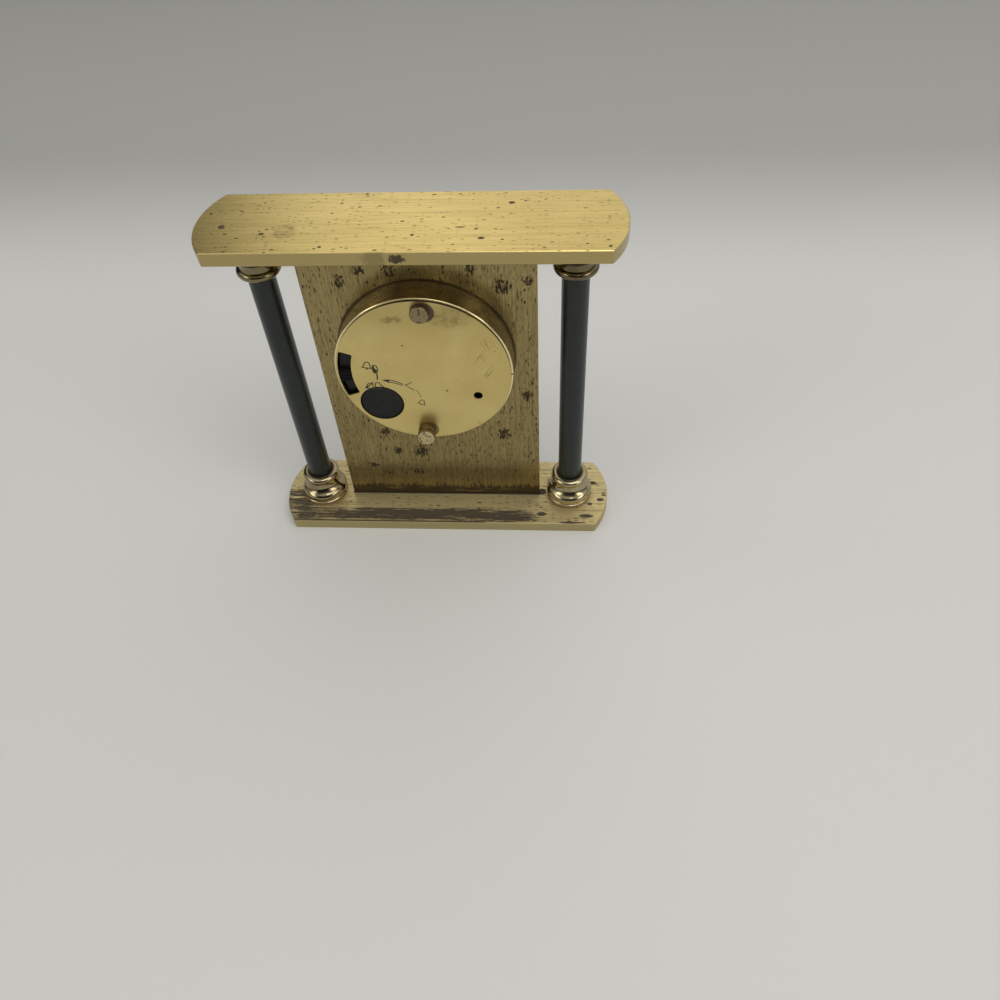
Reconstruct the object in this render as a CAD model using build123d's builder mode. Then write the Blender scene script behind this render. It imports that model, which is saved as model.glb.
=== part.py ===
"""Brass desk clock on two columns, with a quartz alarm movement, as separate pieces.

Millimetres, +Z up.  The dial faces -Y, the setting side faces +Y, and the origin lies
under the middle of the base plate.
"""

import os
from collections import namedtuple
from math import atan2, cos, pi, radians, sin, sqrt

from build123d import *

os.makedirs("parts", exist_ok=True)

Layer = namedtuple("Layer", "front back")
Gear = namedtuple("Gear", "teeth module phase layer")
Round = namedtuple("Round", "radius front back")

# Fits and cuts
running_fit = 0.05  # radial play of a shaft in its bearing
seat_fit = 0.05  # play round a piece that is set into another
press_fit = 0.01  # what is left between a pressed piece and its seat
overrun = 1.0  # how far a cut runs past the face it opens

# Stand
plate_length = 108.0  # top and base plate, corner to corner along X
plate_bow = 4.8  # how far each curved end stands out past its corners
plate_depth = 30.0
plate_thickness = 4.0
plate_edge_break = 0.2
clear_height = 106.0  # between base plate and top plate
column_inset = 9.0  # column from the corner line of the plates
column_radius = 4.0
column_bore = 2.6
socket_depth = 1.8  # how deep a column stands in its ferrule

# Turned ferrule, the same at the foot and at the head of a column
ferrule_height = 11.6
foot_radius = 7.9
foot_height = 1.0
crease_radius = 7.4
crease_height = 1.35
bulge_radius = 8.0
bulge_height = 3.1
shoulder_radius = 7.0
shoulder_height = 5.0
neck_radius = 5.25
neck_height = 8.7
bead_radius = 6.45
bead_height = 10.15
lip_radius = 4.75

# Tie screw through each column
tie_radius = 2.0
tie_head_radius = 3.5
tie_head_height = 2.2
tie_head_sink = 0.4  # head below the underside of the base
tie_head_clearance = 0.31  # round the head in its sink
tie_slot_width = 0.9
tie_slot_depth = 0.8
tie_grip = 2.5  # thread in the top plate

# Upright plate that carries the movement
upright_width = 68.5
upright_thickness = 2.0
upright_groove = 1.4
dial_drop = 41.0  # dial centre below the top plate

# Drum over the movement
can_radius = 27.05
can_depth = 8.6
can_wall = 0.55
can_rim_round = 0.5
ledge_width = 0.5
ledge_thickness = 0.6
disc_thickness = 0.6
disc_margin = 0.6  # rim of the can seen round the disc
slot_inner = 21.95
slot_web = 0.45  # disc left outside the lever slot
slot_half_angle = 19.6
slot_corner_round = 0.5
knob_hole_radius = 6.86
knob_clearance = 0.31
access_hole_radius = 1.4
access_circle_radius = 18.05  # trimmer hole from the dial centre
access_angle = 208.0

# Studs and thumb nuts
stud_circle_radius = 22.8  # stud from the dial centre
stud_angle = 93.3
stud_radius = 1.25
stud_shoulder = 2.0
stud_grip = 1.5  # thread in the upright plate
stud_tip_share = 0.8  # of the nut that the stud fills
nut_radius = 2.8
upper_nut_length = 2.0
lower_nut_length = 4.7
nut_teeth = 32
nut_knurl_depth = 0.14
nut_cap = 0.6  # closed end of the nut
nut_edge_break = 0.25

# Front: bezel, glass and dial
dial_radius = 23.9
dial_thickness = 0.5
sight_overlap = 0.7  # bezel over the dial edge
bezel_height = 5.6
bezel_wall = 5.2
bezel_foot = 1.4
bezel_step = 0.5
bezel_land = 0.8
glass_radius = 25.2
glass_thickness = 1.2
glass_recess = 0.2
glass_bevel = 0.3
bezel_screw_circle_radius = 25.05
bezel_screw_radius = 0.6
bezel_screw_head = 1.1
bezel_screw_head_height = 0.8
bezel_screw_grip = 1.8
bezel_screw_angle = 15.0
bezel_screw_count = 3

# Movement case
case_radius = 23.2
case_wall = 0.8
case_flange_radius = 25.6
boss_radius = 2.2
bridge_thickness = 0.4
bridge_step = 0.9  # width of the ledge that the bridge lies on
bushing_wall = 1.3
bushing_nut_flats = 11.0
bushing_nut_height = 0.9
layer_gap = 0.25
wheel_face = 0.45
fine_face = 0.35
roof_gap = 0.75

# Coaxial tubes behind the hands
second_arbor = 0.7
minute_tube_wall = 0.9
tube_wall = 0.55
hand_thickness = 0.2
hand_gap = 0.35

# Motion work: teeth and modules
motion_module = 0.5
cannon_teeth = 12
minute_teeth = 36
minute_pinion_teeth = 10
hour_teeth = 40
setting_teeth = 12
alarm_teeth = 62
alarm_pinion_teeth = 12

# Going train
train_module = 0.25
rotor_teeth = 10
intermediate_teeth = 60
intermediate_pinion_teeth = 12
second_teeth = 60
second_pinion_teeth = 8
third_teeth = 60
third_pinion_teeth = 8
centre_teeth = 64
third_angle = 200.0
intermediate_angle = 330.0
rotor_angle = 250.0
arbor_radius = 0.5
pivot_radius = 0.3
pivot_depth = 0.3

# Tooth form, as shares of the module or of the tooth
addendum_share = 0.8
dedendum_share = 1.05
backlash_share = 0.16
tip_share = 0.5
root_share = 1.25
leaf_limit = 20  # wheels below this count have leaves with straight radial roots

# Setting knob
knob_circle_radius = 18.62  # knob from the dial centre
knob_angle = -39.33
knob_lift = 0.35  # head above the case
knob_sink = 0.1  # face below the disc
knob_arbor_radius = 1.2
knob_tail_radius = 0.7
knob_socket = 0.8
knob_edge_break = 0.25

# Alarm lever
lever_angle = -2.0
lever_lift = 0.2
lever_thickness = 0.5
lever_hub = 4.2
lever_half_width = 1.2
lever_boss = 2.2
pad_half_angle = 4.5
pad_clearance = 0.3
rib_half_angle = 0.55
rib_pitch_angle = 2.8
rib_height = 0.25
rib_count = 3
clip_radius = 3.4
clip_thickness = 0.25
clip_gap = 0.05

# Hands
minute_hand_length = 19.5
minute_hand_width = 1.5
hour_hand_length = 13.0
hour_hand_width = 2.0
second_hand_length = 20.5
second_hand_width = 0.5
second_hand_tail = 6.5
second_tail_radius = 1.2
alarm_hand_length = 10.0
alarm_hand_width = 0.9
hand_tip_share = 0.25
hand_wide_share = 0.55
hand_boss_wall = 0.9
minute_pose = 54.0  # hand angles, clockwise from twelve as seen from the front
hour_pose = 304.5
second_pose = 210.0
alarm_pose = 180.0

# Pieces on the bridge
cell_radius = 5.8
cell_thickness = 3.0
cell_step = 0.5
cell_rim = 0.6
cell_margin = 0.3  # between the cell and the case
cell_angle = 120.0
cell_opening = 0.3
contact_thickness = 0.1
contact_width = 2.4
contact_length = 9.5
contact_angle = 215.0
clip_strip = 0.2
clip_strip_width = 3.4
clip_strip_height = 2.4
clip_strip_angle = 190.0
buzzer_radius = 5.4
buzzer_thickness = 2.6
buzzer_margin = 0.8  # between the buzzer and the case
buzzer_angle = 50.0
buzzer_port = 1.0
rotor_magnet_radius = 2.4
rotor_magnet_gap = 0.25
stator_thickness = 0.6
stator_lift = 0.7  # stator above the bridge
stator_air = 0.4
stator_ring = 1.6
core_width = 1.8
core_length = 15.5
core_drop = 1.4  # core below the middle of the rotor
coil_end_gap = 0.5  # at each end of the winding
coil_width = 3.4
coil_height = 1.9
board_width = 7.5
board_height = 14.0
board_thickness = 0.6
board_x_offset = -14.2
board_z_offset = -2.6
chip_radius = 1.6
chip_height = 0.7
chip_across = -1.8
chip_up = 5.0
trimmer_radius = 1.2
trimmer_height = 0.6
quartz_radius = 0.9
quartz_length = 5.0
quartz_across = -2.7
quartz_up = 0.2

# Heights and planes that follow from the sizes above
total_height = 2 * plate_thickness + clear_height
top_under = plate_thickness + clear_height
column_x = plate_length / 2 - column_inset
dial_height = top_under - dial_drop
upright_front = -upright_thickness / 2
upright_back = upright_thickness / 2


def above(layer, gap, thickness):
    """Layer of the given thickness that lies behind another one with a gap between."""
    return Layer(layer.back + gap, layer.back + gap + thickness)


case_floor = Layer(upright_back, upright_back + case_wall)
alarm_layer = above(case_floor, layer_gap, wheel_face)
hour_layer = above(alarm_layer, layer_gap, wheel_face)
minute_layer = above(hour_layer, layer_gap, wheel_face)
bridge_layer = above(minute_layer, layer_gap, bridge_thickness)
centre_layer = above(bridge_layer, layer_gap, fine_face)
third_layer = above(centre_layer, layer_gap, fine_face)
second_layer = above(third_layer, layer_gap, fine_face)
intermediate_layer = above(second_layer, layer_gap, fine_face)
case_roof = above(intermediate_layer, roof_gap, case_wall)
lever_layer = above(case_roof, lever_lift, lever_thickness)
rim_back = upright_back + can_depth
disc_layer = Layer(rim_back, rim_back + disc_thickness)
knob_layer = Layer(case_roof.back + knob_lift, disc_layer.back - knob_sink)

dial_layer = Layer(upright_front - dial_thickness, upright_front)
nut_layer = Layer(dial_layer.front - bushing_nut_height, dial_layer.front)
bezel_front = upright_front - bezel_height
glass_layer = Layer(bezel_front + glass_recess, bezel_front + glass_recess + glass_thickness)


def before(layer, gap):
    """Layer of a hand that lies in front of another layer with a gap between."""
    return Layer(layer.front - gap - hand_thickness, layer.front - gap)


alarm_hand_layer = before(nut_layer, layer_gap)
hour_hand_layer = before(alarm_hand_layer, hand_gap)
minute_hand_layer = before(hour_hand_layer, hand_gap)
second_hand_layer = before(minute_hand_layer, hand_gap)

# Radii of the tubes behind the hands, from the middle outwards
minute_tube_inner = second_arbor + running_fit
minute_tube_outer = minute_tube_inner + minute_tube_wall
hour_tube_inner = minute_tube_outer + running_fit
hour_tube_outer = hour_tube_inner + tube_wall
alarm_tube_inner = hour_tube_outer + running_fit
alarm_tube_outer = alarm_tube_inner + tube_wall
bushing_inner = alarm_tube_outer + running_fit
bushing_outer = bushing_inner + bushing_wall


def polar(radius, angle):
    """Point at a distance and an angle in degrees, in the plane of the dial."""
    return (radius * cos(radians(angle)), radius * sin(radians(angle)))


def shifted(point, radius, angle):
    """Point at a distance and an angle in degrees from another point."""
    step = polar(radius, angle)
    return (point[0] + step[0], point[1] + step[1])


def dial_plane(y, point=(0, 0), angle=0):
    """Plane parallel to the dial; its normal points to the front, its Y axis up."""
    turned = (cos(radians(angle)), 0, sin(radians(angle)))
    return Plane(origin=(point[0], y, dial_height + point[1]), x_dir=turned, z_dir=(0, -1, 0))


def clockwise(pose):
    """Plane angle of a hand that stands at a clock angle as seen from the front."""
    return 90 - pose


# Inside of the movement case, and every axis in the plane of the dial
case_inner = case_radius - case_wall
cup_inner = case_inner - bridge_step
cell_reach = cup_inner - cell_radius - cell_margin
buzzer_reach = cup_inner - buzzer_radius - buzzer_margin
dial_point = (0, 0)
knob_point = polar(knob_circle_radius, knob_angle)
motion_distance = motion_module * (cannon_teeth + minute_teeth) / 2
setting_distance = motion_module * (minute_teeth + setting_teeth) / 2
hour_module = 2 * motion_distance / (minute_pinion_teeth + hour_teeth)
alarm_module = 2 * knob_circle_radius / (alarm_teeth + alarm_pinion_teeth)
# The minute wheel meshes with the cannon pinion and with the setting pinion
mesh_difference = motion_distance**2 - setting_distance**2
along_share = (mesh_difference / knob_circle_radius**2 + 1) / 2
aside = sqrt(motion_distance**2 - (along_share * knob_circle_radius) ** 2)
minute_point = shifted(polar(along_share * knob_circle_radius, knob_angle), aside, knob_angle + 90)
third_distance = train_module * (second_pinion_teeth + third_teeth) / 2
centre_module = 2 * third_distance / (third_pinion_teeth + centre_teeth)
third_point = polar(third_distance, third_angle)
intermediate_distance = train_module * (second_teeth + intermediate_pinion_teeth) / 2
intermediate_point = polar(intermediate_distance, intermediate_angle)
rotor_distance = train_module * (intermediate_teeth + rotor_teeth) / 2
rotor_point = shifted(intermediate_point, rotor_distance, rotor_angle)
upper_stud = polar(stud_circle_radius, stud_angle)
lower_stud = polar(stud_circle_radius, stud_angle + 180)
stud_points = (upper_stud, lower_stud)
cell_point = polar(cell_reach, cell_angle)
buzzer_point = polar(buzzer_reach, buzzer_angle)
access_point = polar(access_circle_radius, access_angle)
board_point = (board_x_offset, board_z_offset)


def mesh_phase(from_point, from_teeth, from_phase, to_point, to_teeth):
    """Turn of a wheel whose gap faces the tooth of the wheel that it meshes with."""
    line = atan2(to_point[1] - from_point[1], to_point[0] - from_point[0])
    return line + pi - from_teeth / to_teeth * (from_phase - line) - pi / to_teeth


minute_phase = mesh_phase(dial_point, cannon_teeth, 0, minute_point, minute_teeth)
setting_phase = mesh_phase(minute_point, minute_teeth, minute_phase, knob_point, setting_teeth)
hour_phase = mesh_phase(minute_point, minute_pinion_teeth, 0, dial_point, hour_teeth)
alarm_pinion_phase = mesh_phase(dial_point, alarm_teeth, 0, knob_point, alarm_pinion_teeth)
third_phase = mesh_phase(dial_point, second_pinion_teeth, 0, third_point, third_teeth)
centre_phase = mesh_phase(third_point, third_pinion_teeth, 0, dial_point, centre_teeth)
intermediate_pinion_phase = mesh_phase(
    dial_point, second_teeth, 0, intermediate_point, intermediate_pinion_teeth
)
rotor_phase = mesh_phase(intermediate_point, intermediate_teeth, 0, rotor_point, rotor_teeth)


def tooth_outline(gear):
    """Closed outline of a toothed wheel: four points for each tooth."""
    pitch_radius = gear.module * gear.teeth / 2
    tip_radius = pitch_radius + addendum_share * gear.module
    root_radius = pitch_radius - dedendum_share * gear.module
    half_tooth = (1 - backlash_share) * pi / gear.teeth / 2
    root_half = half_tooth if gear.teeth < leaf_limit else half_tooth * root_share
    tip_half = half_tooth * tip_share
    points = []
    for number in range(gear.teeth):
        middle = gear.phase + 2 * pi * number / gear.teeth
        for radius, turn in (
            (root_radius, -root_half),
            (tip_radius, -tip_half),
            (tip_radius, tip_half),
            (root_radius, root_half),
        ):
            points.append((radius * cos(middle + turn), radius * sin(middle + turn)))
    return points


def train_wheel(point, gears, rounds, bore=0):
    """Wheel of toothed rims and plain rounds on one axis, with or without a bore."""
    with BuildPart() as wheel:
        for gear in gears:
            with BuildSketch(dial_plane(gear.layer.back, point)):
                with BuildLine():
                    Polyline(*tooth_outline(gear), close=True)
                make_face()
            extrude(amount=gear.layer.back - gear.layer.front)
        for plain in rounds:
            with BuildSketch(dial_plane(plain.back, point)):
                Circle(plain.radius)
            extrude(amount=plain.back - plain.front)
        if bore:
            with BuildSketch(dial_plane(case_roof.back, point)):
                Circle(bore)
            extrude(amount=case_roof.back - glass_layer.front, mode=Mode.SUBTRACT)
    return wheel.part


def save(part, label):
    """Label a finished piece and write it to its own file."""
    part.label = label
    export_step(part, f"parts/{label}.step")


# Stand: two plates with curved ends
def stand_plate(under, groove_under):
    """Plate with curved ends and a blind groove for the upright plate."""
    half = plate_length / 2
    with BuildPart() as plate:
        with BuildSketch(Plane.XY.offset(under)):
            with BuildLine():
                Line((-half, -plate_depth / 2), (half, -plate_depth / 2))
                SagittaArc((half, -plate_depth / 2), (half, plate_depth / 2), -plate_bow)
                Line((half, plate_depth / 2), (-half, plate_depth / 2))
                SagittaArc((-half, plate_depth / 2), (-half, -plate_depth / 2), -plate_bow)
            make_face()
        extrude(amount=plate_thickness)
        chamfer(plate.edges().filter_by(Axis.Z, reverse=True), plate_edge_break)
        with BuildSketch(Plane.XY.offset(groove_under)):
            Rectangle(upright_width + 2 * seat_fit, upright_thickness + 2 * seat_fit)
        extrude(amount=upright_groove, mode=Mode.SUBTRACT)
    return plate.part


tie_sites = [(-column_x, 0), (column_x, 0)]
tie_seat = tie_head_sink + tie_head_height

with BuildPart() as base_plate:
    add(stand_plate(0, plate_thickness - upright_groove))
    with BuildSketch(Plane.XY.offset(-overrun)):
        with Locations(*tie_sites):
            Circle(tie_radius + seat_fit)
    extrude(amount=plate_thickness + 2 * overrun, mode=Mode.SUBTRACT)
    with BuildSketch(Plane.XY.offset(-overrun)):
        with Locations(*tie_sites):
            Circle(tie_head_radius + tie_head_clearance)
    extrude(amount=tie_seat + overrun, mode=Mode.SUBTRACT)
save(base_plate.part, "base_plate")

with BuildPart() as top_plate:
    add(stand_plate(top_under, top_under))
    with BuildSketch(Plane.XY.offset(top_under)):
        with Locations(*tie_sites):
            Circle(tie_radius + press_fit)
    extrude(amount=tie_grip + seat_fit, mode=Mode.SUBTRACT)
save(top_plate.part, "top_plate")


# Columns with their ferrules and tie screws
def turned_ferrule(x, foot_z, up):
    """Ferrule turned about an upright axis; up is 1 at the foot, -1 at the head."""
    socket = ferrule_height - socket_depth
    bore = tie_radius + seat_fit
    plane = Plane(origin=(x, 0, foot_z), x_dir=(1, 0, 0), z_dir=(0, -up, 0))
    with BuildPart() as ferrule:
        with BuildSketch(plane):
            with BuildLine():
                Line((bore, 0), (foot_radius, 0))
                Line((foot_radius, 0), (foot_radius, foot_height))
                Line((foot_radius, foot_height), (crease_radius, crease_height))
                bulge = ThreePointArc(
                    (crease_radius, crease_height),
                    (bulge_radius, bulge_height),
                    (shoulder_radius, shoulder_height),
                )
                TangentArc(
                    (shoulder_radius, shoulder_height),
                    (neck_radius, neck_height),
                    tangent=bulge % 1,
                )
                ThreePointArc(
                    (neck_radius, neck_height),
                    (bead_radius, bead_height),
                    (lip_radius, ferrule_height),
                )
                Polyline(
                    (lip_radius, ferrule_height),
                    (column_radius + seat_fit, ferrule_height),
                    (column_radius + seat_fit, socket),
                    (bore, socket),
                    (bore, 0),
                )
            make_face()
        revolve(axis=Axis((x, 0, foot_z), (0, 0, 1)))
    return ferrule.part


def column_tube(x):
    """Plain tube between the two ferrules of a column."""
    foot = plate_thickness + ferrule_height - socket_depth
    with BuildPart() as tube:
        with BuildSketch(Plane.XY.offset(foot)):
            with Locations((x, 0)):
                Circle(column_radius)
                Circle(column_bore, mode=Mode.SUBTRACT)
        extrude(amount=total_height - 2 * foot)
    return tube.part


def tie_screw(x):
    """Long slotted screw from the underside of the base into the top plate."""
    with BuildPart() as screw:
        with BuildSketch(Plane.XY.offset(tie_head_sink)):
            with Locations((x, 0)):
                Circle(tie_head_radius)
        extrude(amount=tie_head_height)
        with BuildSketch(Plane.XY.offset(tie_head_sink)):
            with Locations((x, 0)):
                Circle(tie_radius)
        extrude(amount=top_under + tie_grip - tie_head_sink)
        with BuildSketch(Plane.XY.offset(tie_head_sink)):
            with Locations((x, 0)):
                Rectangle(2 * tie_head_radius + overrun, tie_slot_width)
        extrude(amount=tie_slot_depth, mode=Mode.SUBTRACT)
    return screw.part


for side, x in (("right", -column_x), ("left", column_x)):
    save(column_tube(x), f"column_{side}")
    save(turned_ferrule(x, plate_thickness, 1), f"foot_ferrule_{side}")
    save(turned_ferrule(x, top_under, -1), f"head_ferrule_{side}")
    save(tie_screw(x), f"tie_screw_{side}")

# Upright plate with the holes for bushing, studs and bezel screws
bezel_screw_turns = [
    bezel_screw_angle + 360 * number / bezel_screw_count for number in range(bezel_screw_count)
]
bezel_screw_points = [polar(bezel_screw_circle_radius, turn) for turn in bezel_screw_turns]
upright_foot = plate_thickness - upright_groove
upright_height = clear_height + 2 * upright_groove - seat_fit

with BuildPart() as centre_plate:
    with BuildSketch(Plane.XY.offset(upright_foot)):
        Rectangle(upright_width, upright_thickness)
    extrude(amount=upright_height)
    with BuildSketch(dial_plane(upright_back + overrun)):
        Circle(bushing_outer + seat_fit)
        with Locations(*bezel_screw_points):
            Circle(bezel_screw_radius + seat_fit)
    extrude(amount=upright_thickness + 2 * overrun, mode=Mode.SUBTRACT)
    with BuildSketch(dial_plane(upright_back)):
        with Locations(*stud_points):
            Circle(stud_radius + press_fit)
    extrude(amount=stud_grip + seat_fit, mode=Mode.SUBTRACT)
save(centre_plate.part, "centre_plate")

# Drum: turned can with a ledge, and the flat disc that lies on its rim
dial_axis = Axis((0, 0, dial_height), (0, 1, 0))
profile_plane = Plane(origin=(0, 0, dial_height), x_dir=(1, 0, 0), z_dir=(0, 0, 1))
can_inner = can_radius - can_wall
ledge_radius = can_inner - ledge_width
disc_radius = can_radius - disc_margin
slot_outer = disc_radius - slot_web

with BuildPart() as movement_can:
    with BuildSketch(profile_plane):
        with BuildLine():
            Polyline(
                (can_inner, upright_back),
                (can_radius, upright_back),
                (can_radius, rim_back - can_rim_round),
            )
            TangentArc(
                (can_radius, rim_back - can_rim_round),
                (can_radius - can_rim_round, rim_back),
                tangent=(0, 1),
            )
            Polyline(
                (can_radius - can_rim_round, rim_back),
                (ledge_radius, rim_back),
                (ledge_radius, rim_back - ledge_thickness),
                (can_inner, rim_back - ledge_thickness),
                (can_inner, upright_back),
            )
        make_face()
    revolve(axis=dial_axis)
save(movement_can.part, "movement_can")


def ring_sector(inner, outer, half_angle):
    """Corner points of a piece of a ring about the plane's X axis."""
    corners = [polar(inner, half_angle), polar(outer, half_angle)]
    corners += [polar(outer, -half_angle), polar(inner, -half_angle)]
    return corners


with BuildPart() as rear_disc:
    with BuildSketch(dial_plane(disc_layer.back)):
        Circle(disc_radius)
        with Locations(knob_point):
            Circle(knob_hole_radius, mode=Mode.SUBTRACT)
        with Locations(access_point):
            Circle(access_hole_radius, mode=Mode.SUBTRACT)
        with Locations(*stud_points):
            Circle(stud_radius + seat_fit, mode=Mode.SUBTRACT)
    extrude(amount=disc_thickness)
    slot_corners = ring_sector(slot_inner, slot_outer, slot_half_angle)
    with BuildSketch(dial_plane(disc_layer.back + overrun)) as slot:
        with BuildLine():
            Line(slot_corners[0], slot_corners[1])
            ThreePointArc(slot_corners[1], (slot_outer, 0), slot_corners[2])
            Line(slot_corners[2], slot_corners[3])
            ThreePointArc(slot_corners[3], (slot_inner, 0), slot_corners[0])
        make_face()
        fillet(slot.vertices(), slot_corner_round)
    extrude(amount=disc_thickness + 2 * overrun, mode=Mode.SUBTRACT)
save(rear_disc.part, "rear_disc")


# Studs from the upright plate through the case, and the thumb nuts on them
def cover_stud(point, nut_length):
    """Shouldered stud that holds the case and carries the disc."""
    tip = disc_layer.back + stud_tip_share * (nut_length - nut_cap)
    with BuildPart() as stud:
        with BuildSketch(dial_plane(tip, point)):
            Circle(stud_radius)
        extrude(amount=tip - upright_back + stud_grip)
        with BuildSketch(dial_plane(disc_layer.front, point)):
            Circle(stud_shoulder)
        extrude(amount=disc_layer.front - case_roof.back)
    return stud.part


def thumb_nut(point, nut_length):
    """Round nut with a straight knurl and a closed end."""
    nut_end = disc_layer.back + nut_length
    knurl = []
    for number in range(2 * nut_teeth):
        radius = nut_radius - nut_knurl_depth * (number % 2)
        knurl.append(polar(radius, 180 * number / nut_teeth))
    with BuildPart() as nut:
        with BuildSketch(dial_plane(nut_end, point)):
            with BuildLine():
                Polyline(*knurl, close=True)
            make_face()
        extrude(amount=nut_length)
        with BuildSketch(dial_plane(nut_end, point)):
            Circle(nut_radius + overrun)
            Circle(nut_radius - nut_edge_break, mode=Mode.SUBTRACT)
        extrude(amount=nut_edge_break, taper=-45, mode=Mode.SUBTRACT)
        with BuildSketch(dial_plane(nut_end - nut_cap, point)):
            Circle(stud_radius + running_fit)
        extrude(amount=nut_length, mode=Mode.SUBTRACT)
    return nut.part


thumb_nuts = (("upper", upper_stud, upper_nut_length), ("lower", lower_stud, lower_nut_length))
for place, point, length in thumb_nuts:
    save(cover_stud(point, length), f"cover_stud_{place}")
    save(thumb_nut(point, length), f"thumb_nut_{place}")

# Front: bezel with its screws, glass, dial and the nut of the bushing
sight_radius = dial_radius - sight_overlap
dial_seat = dial_radius + 2 * seat_fit
glass_seat = glass_radius + seat_fit
bezel_radius = dial_seat + bezel_wall
bezel_edge = glass_seat + bezel_land

with BuildPart() as bezel_ring:
    with BuildSketch(profile_plane):
        with BuildLine():
            Polyline(
                (bezel_edge, bezel_front),
                (glass_seat, bezel_front),
                (glass_seat, glass_layer.back),
                (dial_seat, glass_layer.back),
                (sight_radius, dial_layer.front - seat_fit),
                (dial_seat, dial_layer.front - seat_fit),
                (dial_seat, upright_front),
                (bezel_radius, upright_front),
                (bezel_radius, upright_front - bezel_foot),
                (bezel_radius - bezel_step, upright_front - bezel_foot),
            )
            TangentArc(
                (bezel_radius - bezel_step, upright_front - bezel_foot),
                (bezel_edge, bezel_front),
                tangent=(0, -1),
            )
        make_face()
    revolve(axis=dial_axis)
    with BuildSketch(dial_plane(upright_front)):
        with Locations(*bezel_screw_points):
            Circle(bezel_screw_radius + press_fit)
    extrude(amount=bezel_screw_grip + seat_fit, mode=Mode.SUBTRACT)
save(bezel_ring.part, "bezel_ring")

with BuildPart() as bezel_screws:
    with BuildSketch(dial_plane(upright_back)):
        with Locations(*bezel_screw_points):
            Circle(bezel_screw_radius)
    extrude(amount=upright_thickness + bezel_screw_grip)
    with BuildSketch(dial_plane(upright_back + bezel_screw_head_height)):
        with Locations(*bezel_screw_points):
            Circle(bezel_screw_head)
    extrude(amount=bezel_screw_head_height)
save(bezel_screws.part, "bezel_screws")

with BuildPart() as dial_glass:
    with BuildSketch(dial_plane(glass_layer.back)):
        Circle(glass_radius)
    extrude(amount=glass_thickness)
    chamfer(dial_glass.edges().sort_by(Axis.Y)[0], glass_bevel)
save(dial_glass.part, "dial_glass")

with BuildPart() as dial_disc:
    with BuildSketch(dial_plane(dial_layer.back)):
        Circle(dial_radius)
        Circle(bushing_outer + seat_fit, mode=Mode.SUBTRACT)
    extrude(amount=dial_thickness)
save(dial_disc.part, "dial_disc")

with BuildPart() as bushing_nut:
    with BuildSketch(dial_plane(nut_layer.back)):
        RegularPolygon(bushing_nut_flats / 2, side_count=6, major_radius=False)
        Circle(bushing_outer + press_fit, mode=Mode.SUBTRACT)
    extrude(amount=bushing_nut_height)
save(bushing_nut.part, "bushing_nut")

# Movement case: front half with the bushing, rear half as a cup, bridge between
tail_hole = knob_tail_radius + running_fit
arbor_hole = knob_arbor_radius + running_fit
pivot_hole = pivot_radius + running_fit
pivot_points = (third_point, intermediate_point, rotor_point)

with BuildPart() as case_front:
    with BuildSketch(dial_plane(case_floor.back)):
        Circle(case_radius)
        with Locations(*stud_points):
            Circle(boss_radius)
    extrude(amount=case_wall)
    with BuildSketch(dial_plane(case_floor.back)):
        Circle(bushing_outer)
    extrude(amount=case_floor.back - nut_layer.front)
    with BuildSketch(dial_plane(case_floor.back + overrun)):
        Circle(bushing_inner)
        with Locations(*stud_points):
            Circle(stud_radius + seat_fit)
    extrude(amount=case_floor.back - nut_layer.front + 2 * overrun, mode=Mode.SUBTRACT)
    with BuildSketch(dial_plane(case_floor.back, knob_point)):
        Circle(tail_hole)
    extrude(amount=case_wall / 2, mode=Mode.SUBTRACT)
save(case_front.part, "case_front")

with BuildPart() as case_rear:
    with BuildSketch(dial_plane(case_roof.back)):
        Circle(case_flange_radius)
    extrude(amount=case_wall)
    with BuildSketch(dial_plane(case_roof.front)):
        Circle(case_radius)
        with Locations(*stud_points):
            Circle(boss_radius)
    extrude(amount=case_roof.front - case_floor.back)
    with BuildSketch(dial_plane(case_roof.front)):
        Circle(cup_inner)
        with Locations(*stud_points):
            Circle(boss_radius, mode=Mode.SUBTRACT)
    extrude(amount=case_roof.front - bridge_layer.back, mode=Mode.SUBTRACT)
    with BuildSketch(dial_plane(bridge_layer.back)):
        Circle(case_inner)
        with Locations(*stud_points):
            Circle(boss_radius, mode=Mode.SUBTRACT)
    extrude(amount=bridge_layer.back - case_floor.back, mode=Mode.SUBTRACT)
    with BuildSketch(dial_plane(case_roof.back)):
        Circle(lever_boss)
    extrude(amount=case_roof.back - lever_layer.back - clip_thickness - clip_gap)
    with BuildSketch(dial_plane(case_roof.back + overrun)):
        with Locations(*stud_points):
            Circle(stud_radius + seat_fit)
        with Locations(knob_point):
            Circle(arbor_hole)
        with Locations(access_point):
            Circle(access_hole_radius)
        with Locations(cell_point):
            Circle(cell_radius + cell_opening)
    extrude(amount=case_roof.back - upright_back + 2 * overrun, mode=Mode.SUBTRACT)
    with BuildSketch(dial_plane(case_roof.front + pivot_depth + seat_fit)):
        Circle(pivot_hole)
        with Locations(*pivot_points):
            Circle(pivot_hole)
    extrude(amount=pivot_depth + seat_fit, mode=Mode.SUBTRACT)
save(case_rear.part, "case_rear")

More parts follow.
